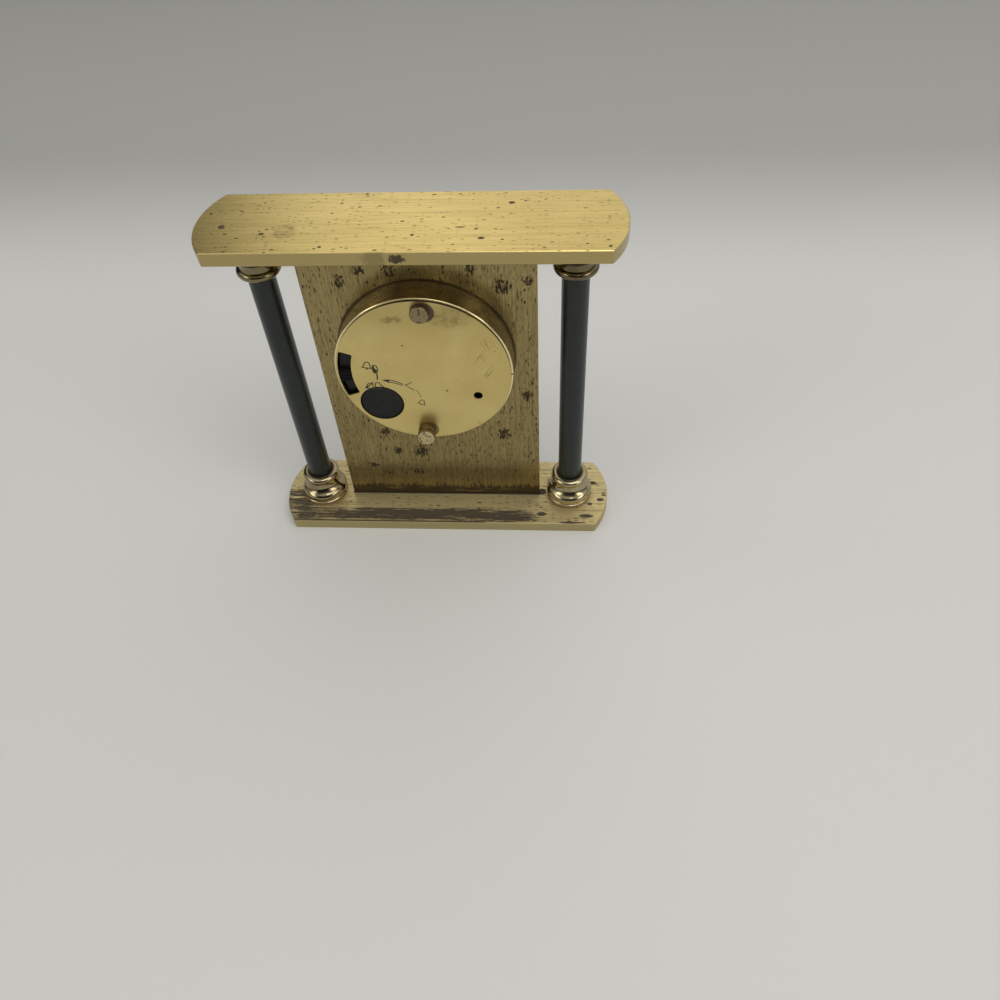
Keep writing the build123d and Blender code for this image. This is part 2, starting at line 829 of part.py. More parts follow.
minute_post_front = hour_layer.front - layer_gap / 2
with BuildPart() as train_bridge:
    with BuildSketch(dial_plane(bridge_layer.back)):
        Circle(case_inner - seat_fit)
        Circle(minute_tube_outer + running_fit, mode=Mode.SUBTRACT)
        with Locations(*stud_points):
            Circle(boss_radius + seat_fit, mode=Mode.SUBTRACT)
        with Locations(knob_point):
            Circle(arbor_hole, mode=Mode.SUBTRACT)
        with Locations(*pivot_points):
            Circle(pivot_hole, mode=Mode.SUBTRACT)
    extrude(amount=bridge_thickness)
    with BuildSketch(dial_plane(bridge_layer.front, minute_point)):
        Circle(knob_tail_radius)
    extrude(amount=bridge_layer.front - minute_post_front)
save(train_bridge.part, "train_bridge")

# Motion work: hands are driven through the cannon pinion, minute wheel and hour wheel
cannon = Gear(cannon_teeth, motion_module, 0, minute_layer)
cannon_rounds = [Round(minute_tube_outer, minute_hand_layer.front, centre_layer.back)]
save(train_wheel(dial_point, [cannon], cannon_rounds, minute_tube_inner), "cannon_pinion")

minute_rim = Gear(minute_teeth, motion_module, minute_phase, minute_layer)
minute_leaf_layer = Layer(hour_layer.front, minute_layer.front)
minute_leaves = Gear(minute_pinion_teeth, hour_module, 0, minute_leaf_layer)
save(train_wheel(minute_point, [minute_rim, minute_leaves], [], tail_hole), "minute_wheel")

hour_rim = Gear(hour_teeth, hour_module, hour_phase, hour_layer)
hour_rounds = [Round(hour_tube_outer, hour_hand_layer.front, hour_layer.back)]
save(train_wheel(dial_point, [hour_rim], hour_rounds, hour_tube_inner), "hour_wheel")

alarm_rim = Gear(alarm_teeth, alarm_module, 0, alarm_layer)
alarm_rounds = [Round(alarm_tube_outer, alarm_hand_layer.front, alarm_layer.back)]
save(train_wheel(dial_point, [alarm_rim], alarm_rounds, alarm_tube_inner), "alarm_wheel")

alarm_leaves = Gear(alarm_pinion_teeth, alarm_module, alarm_pinion_phase, alarm_layer)
save(train_wheel(knob_point, [alarm_leaves], [], tail_hole), "alarm_pinion")

# Setting arbor with its pinion, and the knob on its end
setting_leaves = Gear(setting_teeth, motion_module, setting_phase, minute_layer)
arbor_back = knob_layer.front + knob_socket
setting_rounds = [
    Round(knob_arbor_radius, minute_layer.front, arbor_back),
    Round(knob_tail_radius, case_floor.back - case_wall / 2 + seat_fit, minute_layer.front),
]
save(train_wheel(knob_point, [setting_leaves], setting_rounds), "setting_arbor")

knob_radius = knob_hole_radius - knob_clearance
with BuildPart() as setting_knob:
    with BuildSketch(dial_plane(knob_layer.back, knob_point)):
        Circle(knob_radius)
    extrude(amount=knob_layer.back - knob_layer.front)
    chamfer(setting_knob.edges().sort_by(Axis.Y)[-1], knob_edge_break)
    with BuildSketch(dial_plane(arbor_back, knob_point)):
        Circle(knob_arbor_radius + press_fit)
    extrude(amount=knob_socket, mode=Mode.SUBTRACT)
save(setting_knob.part, "setting_knob")

# Going train: centre wheel, third wheel, second wheel, intermediate wheel and rotor
pivot_front = bridge_layer.front + seat_fit
pivot_back = case_roof.front + pivot_depth
arbor_front = bridge_layer.back + layer_gap / 2
arbor_end = case_roof.front - layer_gap / 2

centre_rim = Gear(centre_teeth, centre_module, centre_phase, centre_layer)
save(train_wheel(dial_point, [centre_rim], [], minute_tube_outer + running_fit), "centre_wheel")

pivots = Round(pivot_radius, pivot_front, pivot_back)
arbor = Round(arbor_radius, arbor_front, arbor_end)
third_rim = Gear(third_teeth, train_module, third_phase, third_layer)
third_leaves = Gear(third_pinion_teeth, centre_module, 0, centre_layer)
save(train_wheel(third_point, [third_rim, third_leaves], [arbor, pivots]), "third_wheel")

second_rim = Gear(second_teeth, train_module, 0, second_layer)
second_leaves = Gear(second_pinion_teeth, train_module, 0, third_layer)
second_rounds = [
    Round(second_arbor, second_hand_layer.front, arbor_end),
    Round(pivot_radius, second_layer.back, pivot_back),
]
save(train_wheel(dial_point, [second_rim, second_leaves], second_rounds), "second_wheel")

intermediate_rim = Gear(intermediate_teeth, train_module, 0, intermediate_layer)
intermediate_leaves = Gear(
    intermediate_pinion_teeth, train_module, intermediate_pinion_phase, second_layer
)
save(
    train_wheel(intermediate_point, [intermediate_rim, intermediate_leaves], [arbor, pivots]),
    "intermediate_wheel",
)

rotor_leaves = Gear(rotor_teeth, train_module, rotor_phase, intermediate_layer)
magnet = Round(rotor_magnet_radius, centre_layer.front, intermediate_layer.front - rotor_magnet_gap)
save(train_wheel(rotor_point, [rotor_leaves], [magnet, arbor, pivots]), "rotor")


# Hands
def hand(length, width, tube, layer, pose, tail=0):
    """Flat leaf hand with a round boss on its tube, pointing at a clock angle."""
    tip = width * hand_tip_share / 2
    wide = length * hand_wide_share
    with BuildPart() as leaf:
        with BuildSketch(dial_plane(layer.back, angle=clockwise(pose))):
            with BuildLine():
                Polyline(
                    (-tail, -tip),
                    (wide, -width / 2),
                    (length, -tip),
                    (length, tip),
                    (wide, width / 2),
                    (-tail, tip),
                    close=True,
                )
            make_face()
            Circle(tube + hand_boss_wall)
            if tail:
                with Locations((-tail, 0)):
                    Circle(second_tail_radius)
            Circle(tube + press_fit, mode=Mode.SUBTRACT)
        extrude(amount=hand_thickness)
    return leaf.part


save(
    hand(minute_hand_length, minute_hand_width, minute_tube_outer, minute_hand_layer, minute_pose),
    "minute_hand",
)
save(hand(hour_hand_length, hour_hand_width, hour_tube_outer, hour_hand_layer, hour_pose), "hour_hand")
save(
    hand(
        second_hand_length,
        second_hand_width,
        second_arbor,
        second_hand_layer,
        second_pose,
        second_hand_tail,
    ),
    "second_hand",
)
save(
    hand(alarm_hand_length, alarm_hand_width, alarm_tube_outer, alarm_hand_layer, alarm_pose),
    "alarm_hand",
)

# Alarm lever on the case, with a ribbed pad in the slot of the disc
pad_inner = slot_inner + pad_clearance
pad_outer = slot_outer - pad_clearance
pad_back = knob_layer.back

with BuildPart() as alarm_lever:
    with BuildSketch(dial_plane(lever_layer.back, angle=lever_angle)):
        Circle(lever_hub)
        with Locations((pad_inner / 2, 0)):
            Rectangle(pad_inner + lever_half_width, 2 * lever_half_width)
        Circle(lever_boss + running_fit, mode=Mode.SUBTRACT)
    extrude(amount=lever_thickness)
    pad_corners = ring_sector(pad_inner, pad_outer, pad_half_angle)
    with BuildSketch(dial_plane(pad_back, angle=lever_angle)):
        with BuildLine():
            Line(pad_corners[0], pad_corners[1])
            ThreePointArc(pad_corners[1], (pad_outer, 0), pad_corners[2])
            Line(pad_corners[2], pad_corners[3])
            ThreePointArc(pad_corners[3], (pad_inner, 0), pad_corners[0])
        make_face()
    extrude(amount=pad_back - lever_layer.front)
    rib_corners = ring_sector(pad_inner, pad_outer, rib_half_angle)
    for number in range(rib_count):
        rib_angle = lever_angle + rib_pitch_angle * (number - (rib_count - 1) / 2)
        with BuildSketch(dial_plane(pad_back + rib_height, angle=rib_angle)):
            with BuildLine():
                Polyline(*rib_corners, close=True)
            make_face()
        extrude(amount=rib_height)
save(alarm_lever.part, "alarm_lever")

with BuildPart() as lever_clip:
    with BuildSketch(dial_plane(lever_layer.back + clip_gap + clip_thickness)):
        Circle(clip_radius)
        Circle(lever_boss + press_fit, mode=Mode.SUBTRACT)
    extrude(amount=clip_thickness)
save(lever_clip.part, "lever_clip")

# Pieces that lie on the bridge
cell_front = bridge_layer.back + contact_thickness
with BuildPart() as button_cell:
    with BuildSketch(dial_plane(cell_front + cell_thickness, cell_point)):
        Circle(cell_radius)
    extrude(amount=cell_thickness - cell_step)
    with BuildSketch(dial_plane(cell_front + cell_step, cell_point)):
        Circle(cell_radius - cell_rim)
    extrude(amount=cell_step)
save(button_cell.part, "button_cell")

with BuildPart() as contact_minus:
    with BuildSketch(dial_plane(cell_front, cell_point, contact_angle)):
        with Locations((contact_length / 2, 0)):
            Rectangle(contact_length, contact_width)
    extrude(amount=contact_thickness)
save(contact_minus.part, "contact_minus")

with BuildPart() as contact_plus:
    with BuildSketch(dial_plane(bridge_layer.back + clip_strip_height, cell_point, clip_strip_angle)):
        with Locations((cell_radius + seat_fit + clip_strip / 2, 0)):
            Rectangle(clip_strip, clip_strip_width)
    extrude(amount=clip_strip_height)
save(contact_plus.part, "contact_plus")

with BuildPart() as piezo_buzzer:
    with BuildSketch(dial_plane(bridge_layer.back + buzzer_thickness, buzzer_point)):
        Circle(buzzer_radius)
    extrude(amount=buzzer_thickness)
    with BuildSketch(dial_plane(bridge_layer.back + buzzer_thickness, buzzer_point)):
        Circle(buzzer_port)
    extrude(amount=buzzer_thickness / 2, mode=Mode.SUBTRACT)
save(piezo_buzzer.part, "piezo_buzzer")

stator_layer = above(bridge_layer, stator_lift, stator_thickness)
stator_hole = rotor_magnet_radius + stator_air
stator_radius = stator_hole + stator_ring
core_point = (-core_length / 2, -core_drop)
with BuildPart() as stator:
    with BuildSketch(dial_plane(stator_layer.back, rotor_point)):
        Circle(stator_radius)
        with Locations(core_point):
            Rectangle(core_length, core_width)
        Circle(stator_hole, mode=Mode.SUBTRACT)
    extrude(amount=stator_thickness)
    with BuildSketch(dial_plane(stator_layer.front, rotor_point)):
        with Locations((stator_ring / 2 - core_length, -core_drop)):
            Rectangle(stator_ring, core_width)
        with Locations((stator_hole + stator_ring / 2, 0)):
            Circle(stator_ring / 2)
    extrude(amount=stator_lift)
save(stator.part, "stator")

coil_middle = (stator_layer.front + stator_layer.back) / 2
coil_length = core_length - stator_radius - stator_ring - 2 * coil_end_gap
coil_from_rotor = stator_radius + coil_end_gap + coil_length / 2
with BuildPart() as coil:
    with BuildSketch(dial_plane(coil_middle + coil_height / 2, rotor_point)):
        with Locations((-coil_from_rotor, -core_drop)):
            Rectangle(coil_length, coil_width)
    extrude(amount=coil_height)
    with BuildSketch(dial_plane(stator_layer.back + seat_fit, rotor_point)):
        with Locations(core_point):
            Rectangle(core_length + overrun, core_width + 2 * seat_fit)
    extrude(amount=stator_thickness + 2 * seat_fit, mode=Mode.SUBTRACT)
save(coil.part, "coil")

trimmer_point = (access_point[0] - board_point[0], access_point[1] - board_point[1])
with BuildPart() as circuit_board:
    board_back = bridge_layer.back + board_thickness
    with BuildSketch(dial_plane(board_back, board_point)):
        Rectangle(board_width, board_height)
    extrude(amount=board_thickness)
    with BuildSketch(dial_plane(board_back + chip_height, board_point)):
        with Locations((chip_across, chip_up)):
            Circle(chip_radius)
    extrude(amount=chip_height)
    with BuildSketch(dial_plane(board_back + trimmer_height, board_point)):
        with Locations(trimmer_point):
            Circle(trimmer_radius)
    extrude(amount=trimmer_height)
save(circuit_board.part, "circuit_board")

quartz_middle = board_back + quartz_radius
quartz_x = board_point[0] + quartz_across
quartz_foot = dial_height + board_point[1] + quartz_up - quartz_length / 2
with BuildPart() as quartz_crystal:
    with BuildSketch(Plane(origin=(quartz_x, quartz_middle, quartz_foot), z_dir=(0, 0, 1))):
        Circle(quartz_radius)
    extrude(amount=quartz_length)
save(quartz_crystal.part, "quartz_crystal")
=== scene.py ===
"""Brass desk clock on two columns: finishes, print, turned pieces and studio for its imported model."""

import logging
from dataclasses import dataclass, field
from enum import Enum
from typing import Callable, Sequence, Union

import bmesh
import bpy
import numpy as np
from mathutils import Matrix, Vector


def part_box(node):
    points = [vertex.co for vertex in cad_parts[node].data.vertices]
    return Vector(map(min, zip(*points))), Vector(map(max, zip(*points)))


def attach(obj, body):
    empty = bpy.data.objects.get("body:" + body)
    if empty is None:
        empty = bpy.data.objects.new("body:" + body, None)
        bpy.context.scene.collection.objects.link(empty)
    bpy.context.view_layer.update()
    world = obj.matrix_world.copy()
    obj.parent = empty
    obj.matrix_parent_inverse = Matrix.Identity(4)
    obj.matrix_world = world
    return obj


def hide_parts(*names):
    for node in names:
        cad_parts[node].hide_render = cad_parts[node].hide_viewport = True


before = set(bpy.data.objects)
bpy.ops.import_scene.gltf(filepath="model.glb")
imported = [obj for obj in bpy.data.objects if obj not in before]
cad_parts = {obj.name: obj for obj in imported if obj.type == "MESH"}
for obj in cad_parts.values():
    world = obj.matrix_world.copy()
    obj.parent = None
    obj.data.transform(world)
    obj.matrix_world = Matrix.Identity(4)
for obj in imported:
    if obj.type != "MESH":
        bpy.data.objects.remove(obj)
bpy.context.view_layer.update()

LOG = logging.getLogger("desk_clock")
MM = 0.001
Array = np.ndarray
Material, Object = bpy.types.Material, bpy.types.Object
Pair = tuple[float, float]
Triple = tuple[float, float, float]
Colour = Triple
Point = Sequence[float]
Number = Union["Value", float]
Where = Union["Value", float, Point]


def middle_of(node: str) -> Vector:
    """Middle of a node's box, in metres."""
    low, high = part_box(node)
    return (low + high) / 2.0


def on_axis(node: str, y: float) -> Vector:
    """Point on the axis of a node that is turned about Y, at a given Y, in metres."""
    middle = middle_of(node)
    return Vector((middle.x, y, middle.z))


UP, REARWARD, FORWARD = Vector((0.0, 0.0, 1.0)), Vector((0.0, 1.0, 0.0)), Vector((0.0, -1.0, 0.0))
BASE_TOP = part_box("base_plate")[1].z / MM
TOP_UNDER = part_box("top_plate")[0].z / MM
TOP_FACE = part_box("top_plate")[1].z / MM
PLATE_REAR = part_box("base_plate")[1].y / MM
UPRIGHT_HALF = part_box("centre_plate")[1].x / MM
COLUMN_X = middle_of("column_left").x / MM
DIAL_X = middle_of("movement_can").x / MM
DIAL_Z = middle_of("movement_can").z / MM
DIAL_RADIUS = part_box("dial_disc")[1].x / MM - DIAL_X
DISC_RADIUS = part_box("rear_disc")[1].x / MM - DIAL_X
CAN_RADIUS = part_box("movement_can")[1].x / MM - DIAL_X
CAN_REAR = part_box("movement_can")[1].y / MM


def joined(operation: str, swapped: bool = False) -> Callable[["Value", Number], "Value"]:
    """Method that joins a value and a number by a Math node.

    Args:
        operation: Name of the operation.
        swapped: The value stands on the right.

    Returns:
        The method.
    """

    def method(self: "Value", other: Number) -> "Value":
        """Result of the operation."""
        first, second = (other, self) if swapped else (self, other)
        return self.graph.node("ShaderNodeMath", {"operation": operation}, {0: first, 1: second})

    return method


class Value:
    """A socket that takes part in Python arithmetic; each operator adds a Math node."""

    __add__, __radd__ = joined("ADD"), joined("ADD", True)
    __sub__, __rsub__ = joined("SUBTRACT"), joined("SUBTRACT", True)
    __mul__, __rmul__ = joined("MULTIPLY"), joined("MULTIPLY", True)
    __truediv__, __rtruediv__ = joined("DIVIDE"), joined("DIVIDE", True)
    __pow__, __rpow__ = joined("POWER"), joined("POWER", True)
    most = joined("MAXIMUM")

    def __init__(self, graph: "Graph", socket: bpy.types.NodeSocket) -> None:
        """Keep the graph and the socket that this value stands for."""
        self.graph = graph
        self.socket = socket

    def size(self) -> "Value":
        """Absolute value."""
        return self.graph.node("ShaderNodeMath", {"operation": "ABSOLUTE"}, {0: self})

    def sine(self) -> "Value":
        """Sine of an angle in radians."""
        return self.graph.node("ShaderNodeMath", {"operation": "SINE"}, {0: self})

    def ramp(self, low: Number, high: Number) -> "Value":
        """Smooth step from 0 at low to 1 at high."""
        return self.graph.node(
            "ShaderNodeMapRange",
            {"interpolation_type": "SMOOTHSTEP", "clamp": True},
            {"Value": self, "From Min": low, "From Max": high},
            "Result",
        )

    def fall(self, low: Number, high: Number) -> "Value":
        """Smooth step from 1 at low to 0 at high."""
        return 1.0 - self.ramp(low, high)

    def also(self, output: str) -> "Value":
        """Another output of the node that this value comes from."""
        return Value(self.graph, self.socket.node.outputs[output])


class Graph:
    """Node tree of one material or world, filled by expressions."""

    def __init__(self, tree: bpy.types.NodeTree) -> None:
        """Start from an empty tree."""
        self.tree = tree
        self.tree.nodes.clear()

    @staticmethod
    def _socket(sockets: bpy.types.bpy_prop_collection, key: Union[str, int]) -> bpy.types.NodeSocket:
        """Socket by place, by identifier or by name."""
        if isinstance(key, int):
            return sockets[key]
        return next((s for s in sockets if s.identifier == key), None) or sockets[key]

    def node(
        self,
        kind: str,
        settings: dict[str, object] | None = None,
        inputs: dict[Union[str, int], object] | None = None,
        output: Union[str, int] = 0,
    ) -> Value:
        """Add one node.

        Args:
            kind: Type of the node.
            settings: Properties of the node, set before its sockets.
            inputs: Values or links of its sockets.
            output: Socket to return.

        Returns:
            The chosen output as a value.
        """
        made = self.tree.nodes.new(kind)
        for key, setting in (settings or {}).items():
            setattr(made, key, setting)
        for key, given in (inputs or {}).items():
            socket = self._socket(made.inputs, key)
            if isinstance(given, Value):
                self.tree.links.new(given.socket, socket)
            elif socket.type == "RGBA" and len(given) == 3:
                socket.default_value = (*given, 1.0)
            else:
                socket.default_value = given
        return Value(self, self._socket(made.outputs, output))

    def spaced(self, scale: Union[float, Point], shift: Point = (0.0, 0.0, 0.0)) -> Value:
        """Object coordinates in millimetres, scaled alike or along each axis, and shifted.

        Args:
            scale: Factor for all axes, or one for each.
            shift: Added after the scaling.

        Returns:
            The vector.
        """
        place = self.node("ShaderNodeTexCoord", {}, {}, "Object")
        factors = tuple(s / MM for s in np.broadcast_to(scale, 3))
        sockets = {0: place, 1: factors, 2: tuple(shift)}
        return self.node("ShaderNodeVectorMath", {"operation": "MULTIPLY_ADD"}, sockets)

    def placed(self, where: Where) -> Value:
        """A vector as it is, or object coordinates scaled by a number or along each axis."""
        return where if isinstance(where, Value) else self.spaced(where)

    def axes(self) -> tuple[Value, Value, Value]:
        """X, Y and Z of the object in millimetres."""
        x = self.node("ShaderNodeSeparateXYZ", {}, {0: self.spaced(1.0)}, "X")
        return x, x.also("Y"), x.also("Z")

    def from_axis(self) -> Value:
        """Distance from the axis of the dial and the drum, in millimetres."""
        x, _, z = self.axes()
        return ((x - DIAL_X) ** 2.0 + (z - DIAL_Z) ** 2.0) ** 0.5

    def noise(self, where: Where, detail: float = 3.0, roughness: float = 0.55) -> Value:
        """Soft noise about 0.5 with features one unit wide."""
        return self.node(
            "ShaderNodeTexNoise",
            {"noise_dimensions": "3D"},
            {"Vector": self.placed(where), "Scale": 1.0, "Detail": detail, "Roughness": roughness},
            "Fac",
        )

    def pits(self, where: Where, share: float, size: float) -> Value:
        """Round specks, one in some of the unit cells.

        A cell has a speck where its random number is above 1 - share, and the speck's radius
        grows with that number up to size.

        Args:
            where: Vector whose unit is one cell, or the scale of object coordinates.
            share: Share of the cells that have a speck.
            size: Largest radius in cells.

        Returns:
            1 in a speck, 0 outside.
        """
        sockets = {"Vector": self.placed(where), "Scale": 1.0}
        distance = self.node("ShaderNodeTexVoronoi", {"voronoi_dimensions": "3D"}, sockets, "Distance")
        pick = self.node("ShaderNodeSeparateColor", {}, {0: distance.also("Color")}, "Red")
        radius = ((pick - 1.0 + share) / share * size).most(0.0)
        return (distance / (radius + 0.001)).fall(0.72, 1.0)

    def mix(self, share: Number, first: Union[Value, Colour], second: Union[Value, Colour]) -> Value:
        """Colour between two colours."""
        return self.node(
            "ShaderNodeMix",
            {"data_type": "RGBA"},
            {"Factor_Float": share, "A_Color": first, "B_Color": second},
            "Result_Color",
        )

    def surface(
        self,
        base: Union[Value, Colour],
        roughness: Number,
        metallic: Number = 0.0,
        height: Union[Value, None] = None,
        depth: float = 0.02,
        strength: float = 0.5,
        **fixed: object,
    ) -> Value:
        """Principled surface with an optional relief.

        Args:
            base: Base colour.
            roughness: Roughness.
            metallic: Metallic.
            height: Relief, 1 being depth high.
            depth: Height of the relief in millimetres.
            strength: How much of the relief shows.
            fixed: Further sockets with one value all over, underscores standing for spaces.

        Returns:
            The shader.
        """
        sockets: dict[Union[str, int], object] = {
            "Base Color": base, "Roughness": roughness, "Metallic": metallic
        }
        sockets.update({key.replace("_", " "): value for key, value in fixed.items()})
        if height is not None:
            relief = {"Height": height, "Distance": depth * MM, "Strength": strength}
            sockets["Normal"] = self.node("ShaderNodeBump", {}, relief, "Normal")
        return self.node("ShaderNodeBsdfPrincipled", {}, sockets, "BSDF")

    def end(self, shader: Value, kind: str = "ShaderNodeOutputMaterial") -> None:
        """Connect the finished shader to the output."""
        made = self.tree.nodes.new(kind)
        self.tree.links.new(shader.socket, made.inputs["Surface"])


class Grain(Enum):
    """Direction of brushing or turning, as the axis that the lines follow."""

    ALONG_X = (1.0, 0.0, 0.0)
    ALONG_Y = (0.0, 1.0, 0.0)
    ALONG_Z = (0.0, 0.0, 1.0)

    def stretch(self, along: float, across: float) -> Triple:
        """Scale for a pattern drawn out along the grain."""
        return tuple(along * a + across * (1.0 - a) for a in self.value)


class Face(Enum):
    """Flat face that marks lie on, as the two axes that run along it."""

    LEVEL = ("X", "Y")
    UPRIGHT = ("X", "Z")


@dataclass(frozen=True)
class Mark:
    """Stain at a place on a face, with its half sizes, in millimetres."""

    across: float
    up: float
    half_width: float
    half_height: float

    def spread(self, across: Value, up: Value) -> Value:
        """Sum of the squared distances from the middle, in half sizes: 1 on the outline."""
        out, rise = (across - self.across) / self.half_width, (up - self.up) / self.half_height
        return out * out + rise * rise


def marks_at(*rows: Point) -> tuple[Mark, ...]:
    """Marks from rows of across, up, half width and half height."""
    return tuple(Mark(*row) for row in rows)


@dataclass(frozen=True)
class Finish:
    """What all finishes share: the name of the material."""

    name: str

    def material(self) -> Material:
        """Make the material and paint it.

        Returns:
            The material.
        """
        made = bpy.data.materials.new(self.name)
        made.use_nodes = True
        graph = Graph(made.node_tree)
        graph.end(self.paint(graph))
        return made

    def paint(self, graph: Graph) -> Value:
        """Shader of the finish; each finish has its own."""
        raise NotImplementedError


@dataclass(frozen=True)
class BrushedBrass(Finish):
    """Sheet brass with brushing along one axis, pits and stains."""

    grain: Grain = Grain.ALONG_X
    face: Face = Face.LEVEL
    colour: Colour = (0.80, 0.62, 0.25)
    shade: Colour = (0.60, 0.45, 0.16)
    # side: darker copy of the brass colour that paints shade on the narrow sides of level plates
    side: Colour = (0.46, 0.365, 0.16)
    rubbed: Colour = (0.86, 0.68, 0.30)
    stain: Colour = (0.070, 0.046, 0.026)
    roughness: float = 0.30
    contrast: Pair = (0.33, 0.62)
    dash: Pair = (0.045, 4.2)
    dash_share: float = 0.30
    dullness: float = 0.8
    pit: Pair = (0.45, 1.05)
    pit_share: float = 0.24
    pit_size: float = 0.42
    scar: Pair = (0.42, 2.6)
    scar_share: float = 0.46
    scar_depth: float = 0.9
    upper: Union[float, None] = None
    soft: float = 0.3
    marks: tuple[Mark, ...] = ()

    def marked(self, graph: Graph, ragged: float = 0.5) -> Value:
        """Union of all marks.

        Each falls from 1 to 0 where the sum of the squared distances, in half sizes, passes 1, with noise
        added to make the edge ragged.

        Args:
            graph: Node tree to add to.
            ragged: How far the noise moves the edges.

        Returns:
            1 in a mark, 0 outside.
        """
        axis = dict(zip("XYZ", graph.axes()))
        across, up = (axis[letter] for letter in self.face.value)
        wobble = (graph.noise(1.5, 4.0, 0.7) - 0.5) * (4.0 * ragged)
        covered: Number = 0.0
        for mark in self.marks:
            inside = (mark.spread(across, up) + wobble).fall(1.05 - self.soft, 1.05)
            covered = inside.most(covered)
        return covered

    def pitted(self, graph: Graph) -> Value:
        """Pits, and thinner scars drawn out along the grain.

        Args:
            graph: Node tree to add to.

        Returns:
            1 in a pit, the depth of the scars in a scar, 0 elsewhere.
        """
        pits = graph.pits(self.grain.stretch(*self.pit), self.pit_share, self.pit_size)
        place = graph.spaced(self.grain.stretch(*self.scar), (3.0, 5.0, 1.0))
        return pits.most(graph.pits(place, self.scar_share, 0.50) * self.scar_depth)

    def dirt_and_shade(self, graph: Graph) -> Value:
        """Dark pits and stains, and on some plates painted shade and shadow at joints; each plate has its
        own.
        """
        raise NotImplementedError

    def flank(self, graph: Graph) -> Number:
        """1 on the sides of a level plate, below its upper face, where the side colour paints shade, and 0
        elsewhere.
        """
        if self.upper is None:
            return 0.0
        return graph.axes()[2].fall(self.upper - 0.18, self.upper - 0.01)

    def polish(self, graph: Graph) -> Number:
        """1 where the plate is rubbed bright, 0 elsewhere."""
        return 0.0

    def paint(self, graph: Graph) -> Value:
        """Brass between two tones by streaks along the grain, darkened by dirt and painted shade, with the
        side colour painting shade on the narrow sides.

        Args:
            graph: Node tree to add to.

        Returns:
            The shader.
        """
        streak = graph.noise(self.grain.stretch(0.030, 1.9), 5.0, 0.6)
        fine = graph.noise(self.grain.stretch(0.10, 6.5), 2.0)
        cloud = graph.noise(0.045, 3.0)
        tone = streak * 0.5 + fine * 0.3 + cloud * 0.2
        # dirt together with the painted shade that some plates add to their mask
        dirt_and_shade = self.dirt_and_shade(graph)
        dash = graph.noise(graph.spaced(self.grain.stretch(*self.dash), (7.0, 3.0, 9.0)), 4.0, 0.7)
        clean = graph.mix(tone.ramp(*self.contrast), self.shade, self.colour)
        clean = graph.mix(self.polish(graph), clean, self.rubbed)
        clean = graph.mix(dash.ramp(0.54, 0.63) * self.dash_share, clean, self.stain)
        # painted shade: the flank mask mixes in the darker side colour on the narrow sides
        base = graph.mix(dirt_and_shade * 0.94, graph.mix(self.flank(graph), clean, self.side), self.stain)
        rough = self.roughness + (0.5 - fine) * 0.16 + dirt_and_shade * 0.30
        height = streak * 0.5 + fine * 0.5 - dirt_and_shade * 1.6
        return graph.surface(base, rough, 1.0 - dirt_and_shade * self.dullness, height, 0.030, 0.35)


@dataclass(frozen=True)
class TopBrass(BrushedBrass):
    """Top plate: bright, with a few pits, one faint patch and a stain on its rear edge."""

    colour: Colour = (0.88, 0.688, 0.262)
    shade: Colour = (0.71, 0.54, 0.19)
    roughness: float = 0.26
    contrast: Pair = (0.36, 0.60)
    dullness: float = 0.4
    pit: Pair = (0.55, 1.1)
    pit_share: float = 0.11
    pit_size: float = 0.40
    scar: Pair = (0.60, 3.2)
    scar_share: float = 0.24
    scar_depth: float = 0.8
    upper: float = TOP_FACE
    marks: tuple[Mark, ...] = marks_at(
        (51.0, 2.2, 1.0, 1.1), (39.1, 5.8, 0.8, 0.6), (-27.2, -8.6, 1.0, 0.7),
        (-19.9, 8.7, 1.0, 0.6), (-14.0, 3.4, 1.5, 0.3), (-1.6, 7.0, 0.5, 0.5),
        (22.1, 12.2, 0.5, 0.5), (13.5, -14.0, 0.5, 0.4), (55.7, -4.5, 0.5, 0.5),
        (-53.2, 12.9, 0.5, 0.5),
    )
    patch: Mark = Mark(33.2, 4.6, 3.8, 4.2)
    edge: Mark = Mark(1.7, 112.0, 2.2, 1.2)
    faint: Pair = (7.6, 3.0)

    def dirt_and_shade(self, graph: Graph) -> Value:
        """Pits, the marks on the upper face, a speckled patch and the stain on the rear edge.

        Args:
            graph: Node tree to add to.

        Returns:
            1 in dirt, 0 on clean brass.
        """
        x, y, z = graph.axes()
        ragged = graph.noise((0.9, 1.5, 0.9), 5.0, 0.75)
        patch = self.patch.spread(x, y).fall(0.3, 1.1)
        patch = patch * (0.12 + ragged.ramp(0.5, 0.62) * 0.5)
        rear = y.ramp(PLATE_REAR - 0.5, PLATE_REAR - 0.1)
        wobble = (ragged - 0.5) * 5.0
        edge = rear * (self.edge.spread(x, z) + wobble).fall(0.8, 1.1)
        beside = ((x - self.faint[0]) / self.faint[1]) ** 2.0
        faint = rear * (beside + wobble).fall(0.5, 1.2) * 0.35
        spots = self.pitted(graph).most(self.marked(graph, 0.25)).most(patch)
        return (spots * (1.0 - self.flank(graph))).most(edge).most(faint)


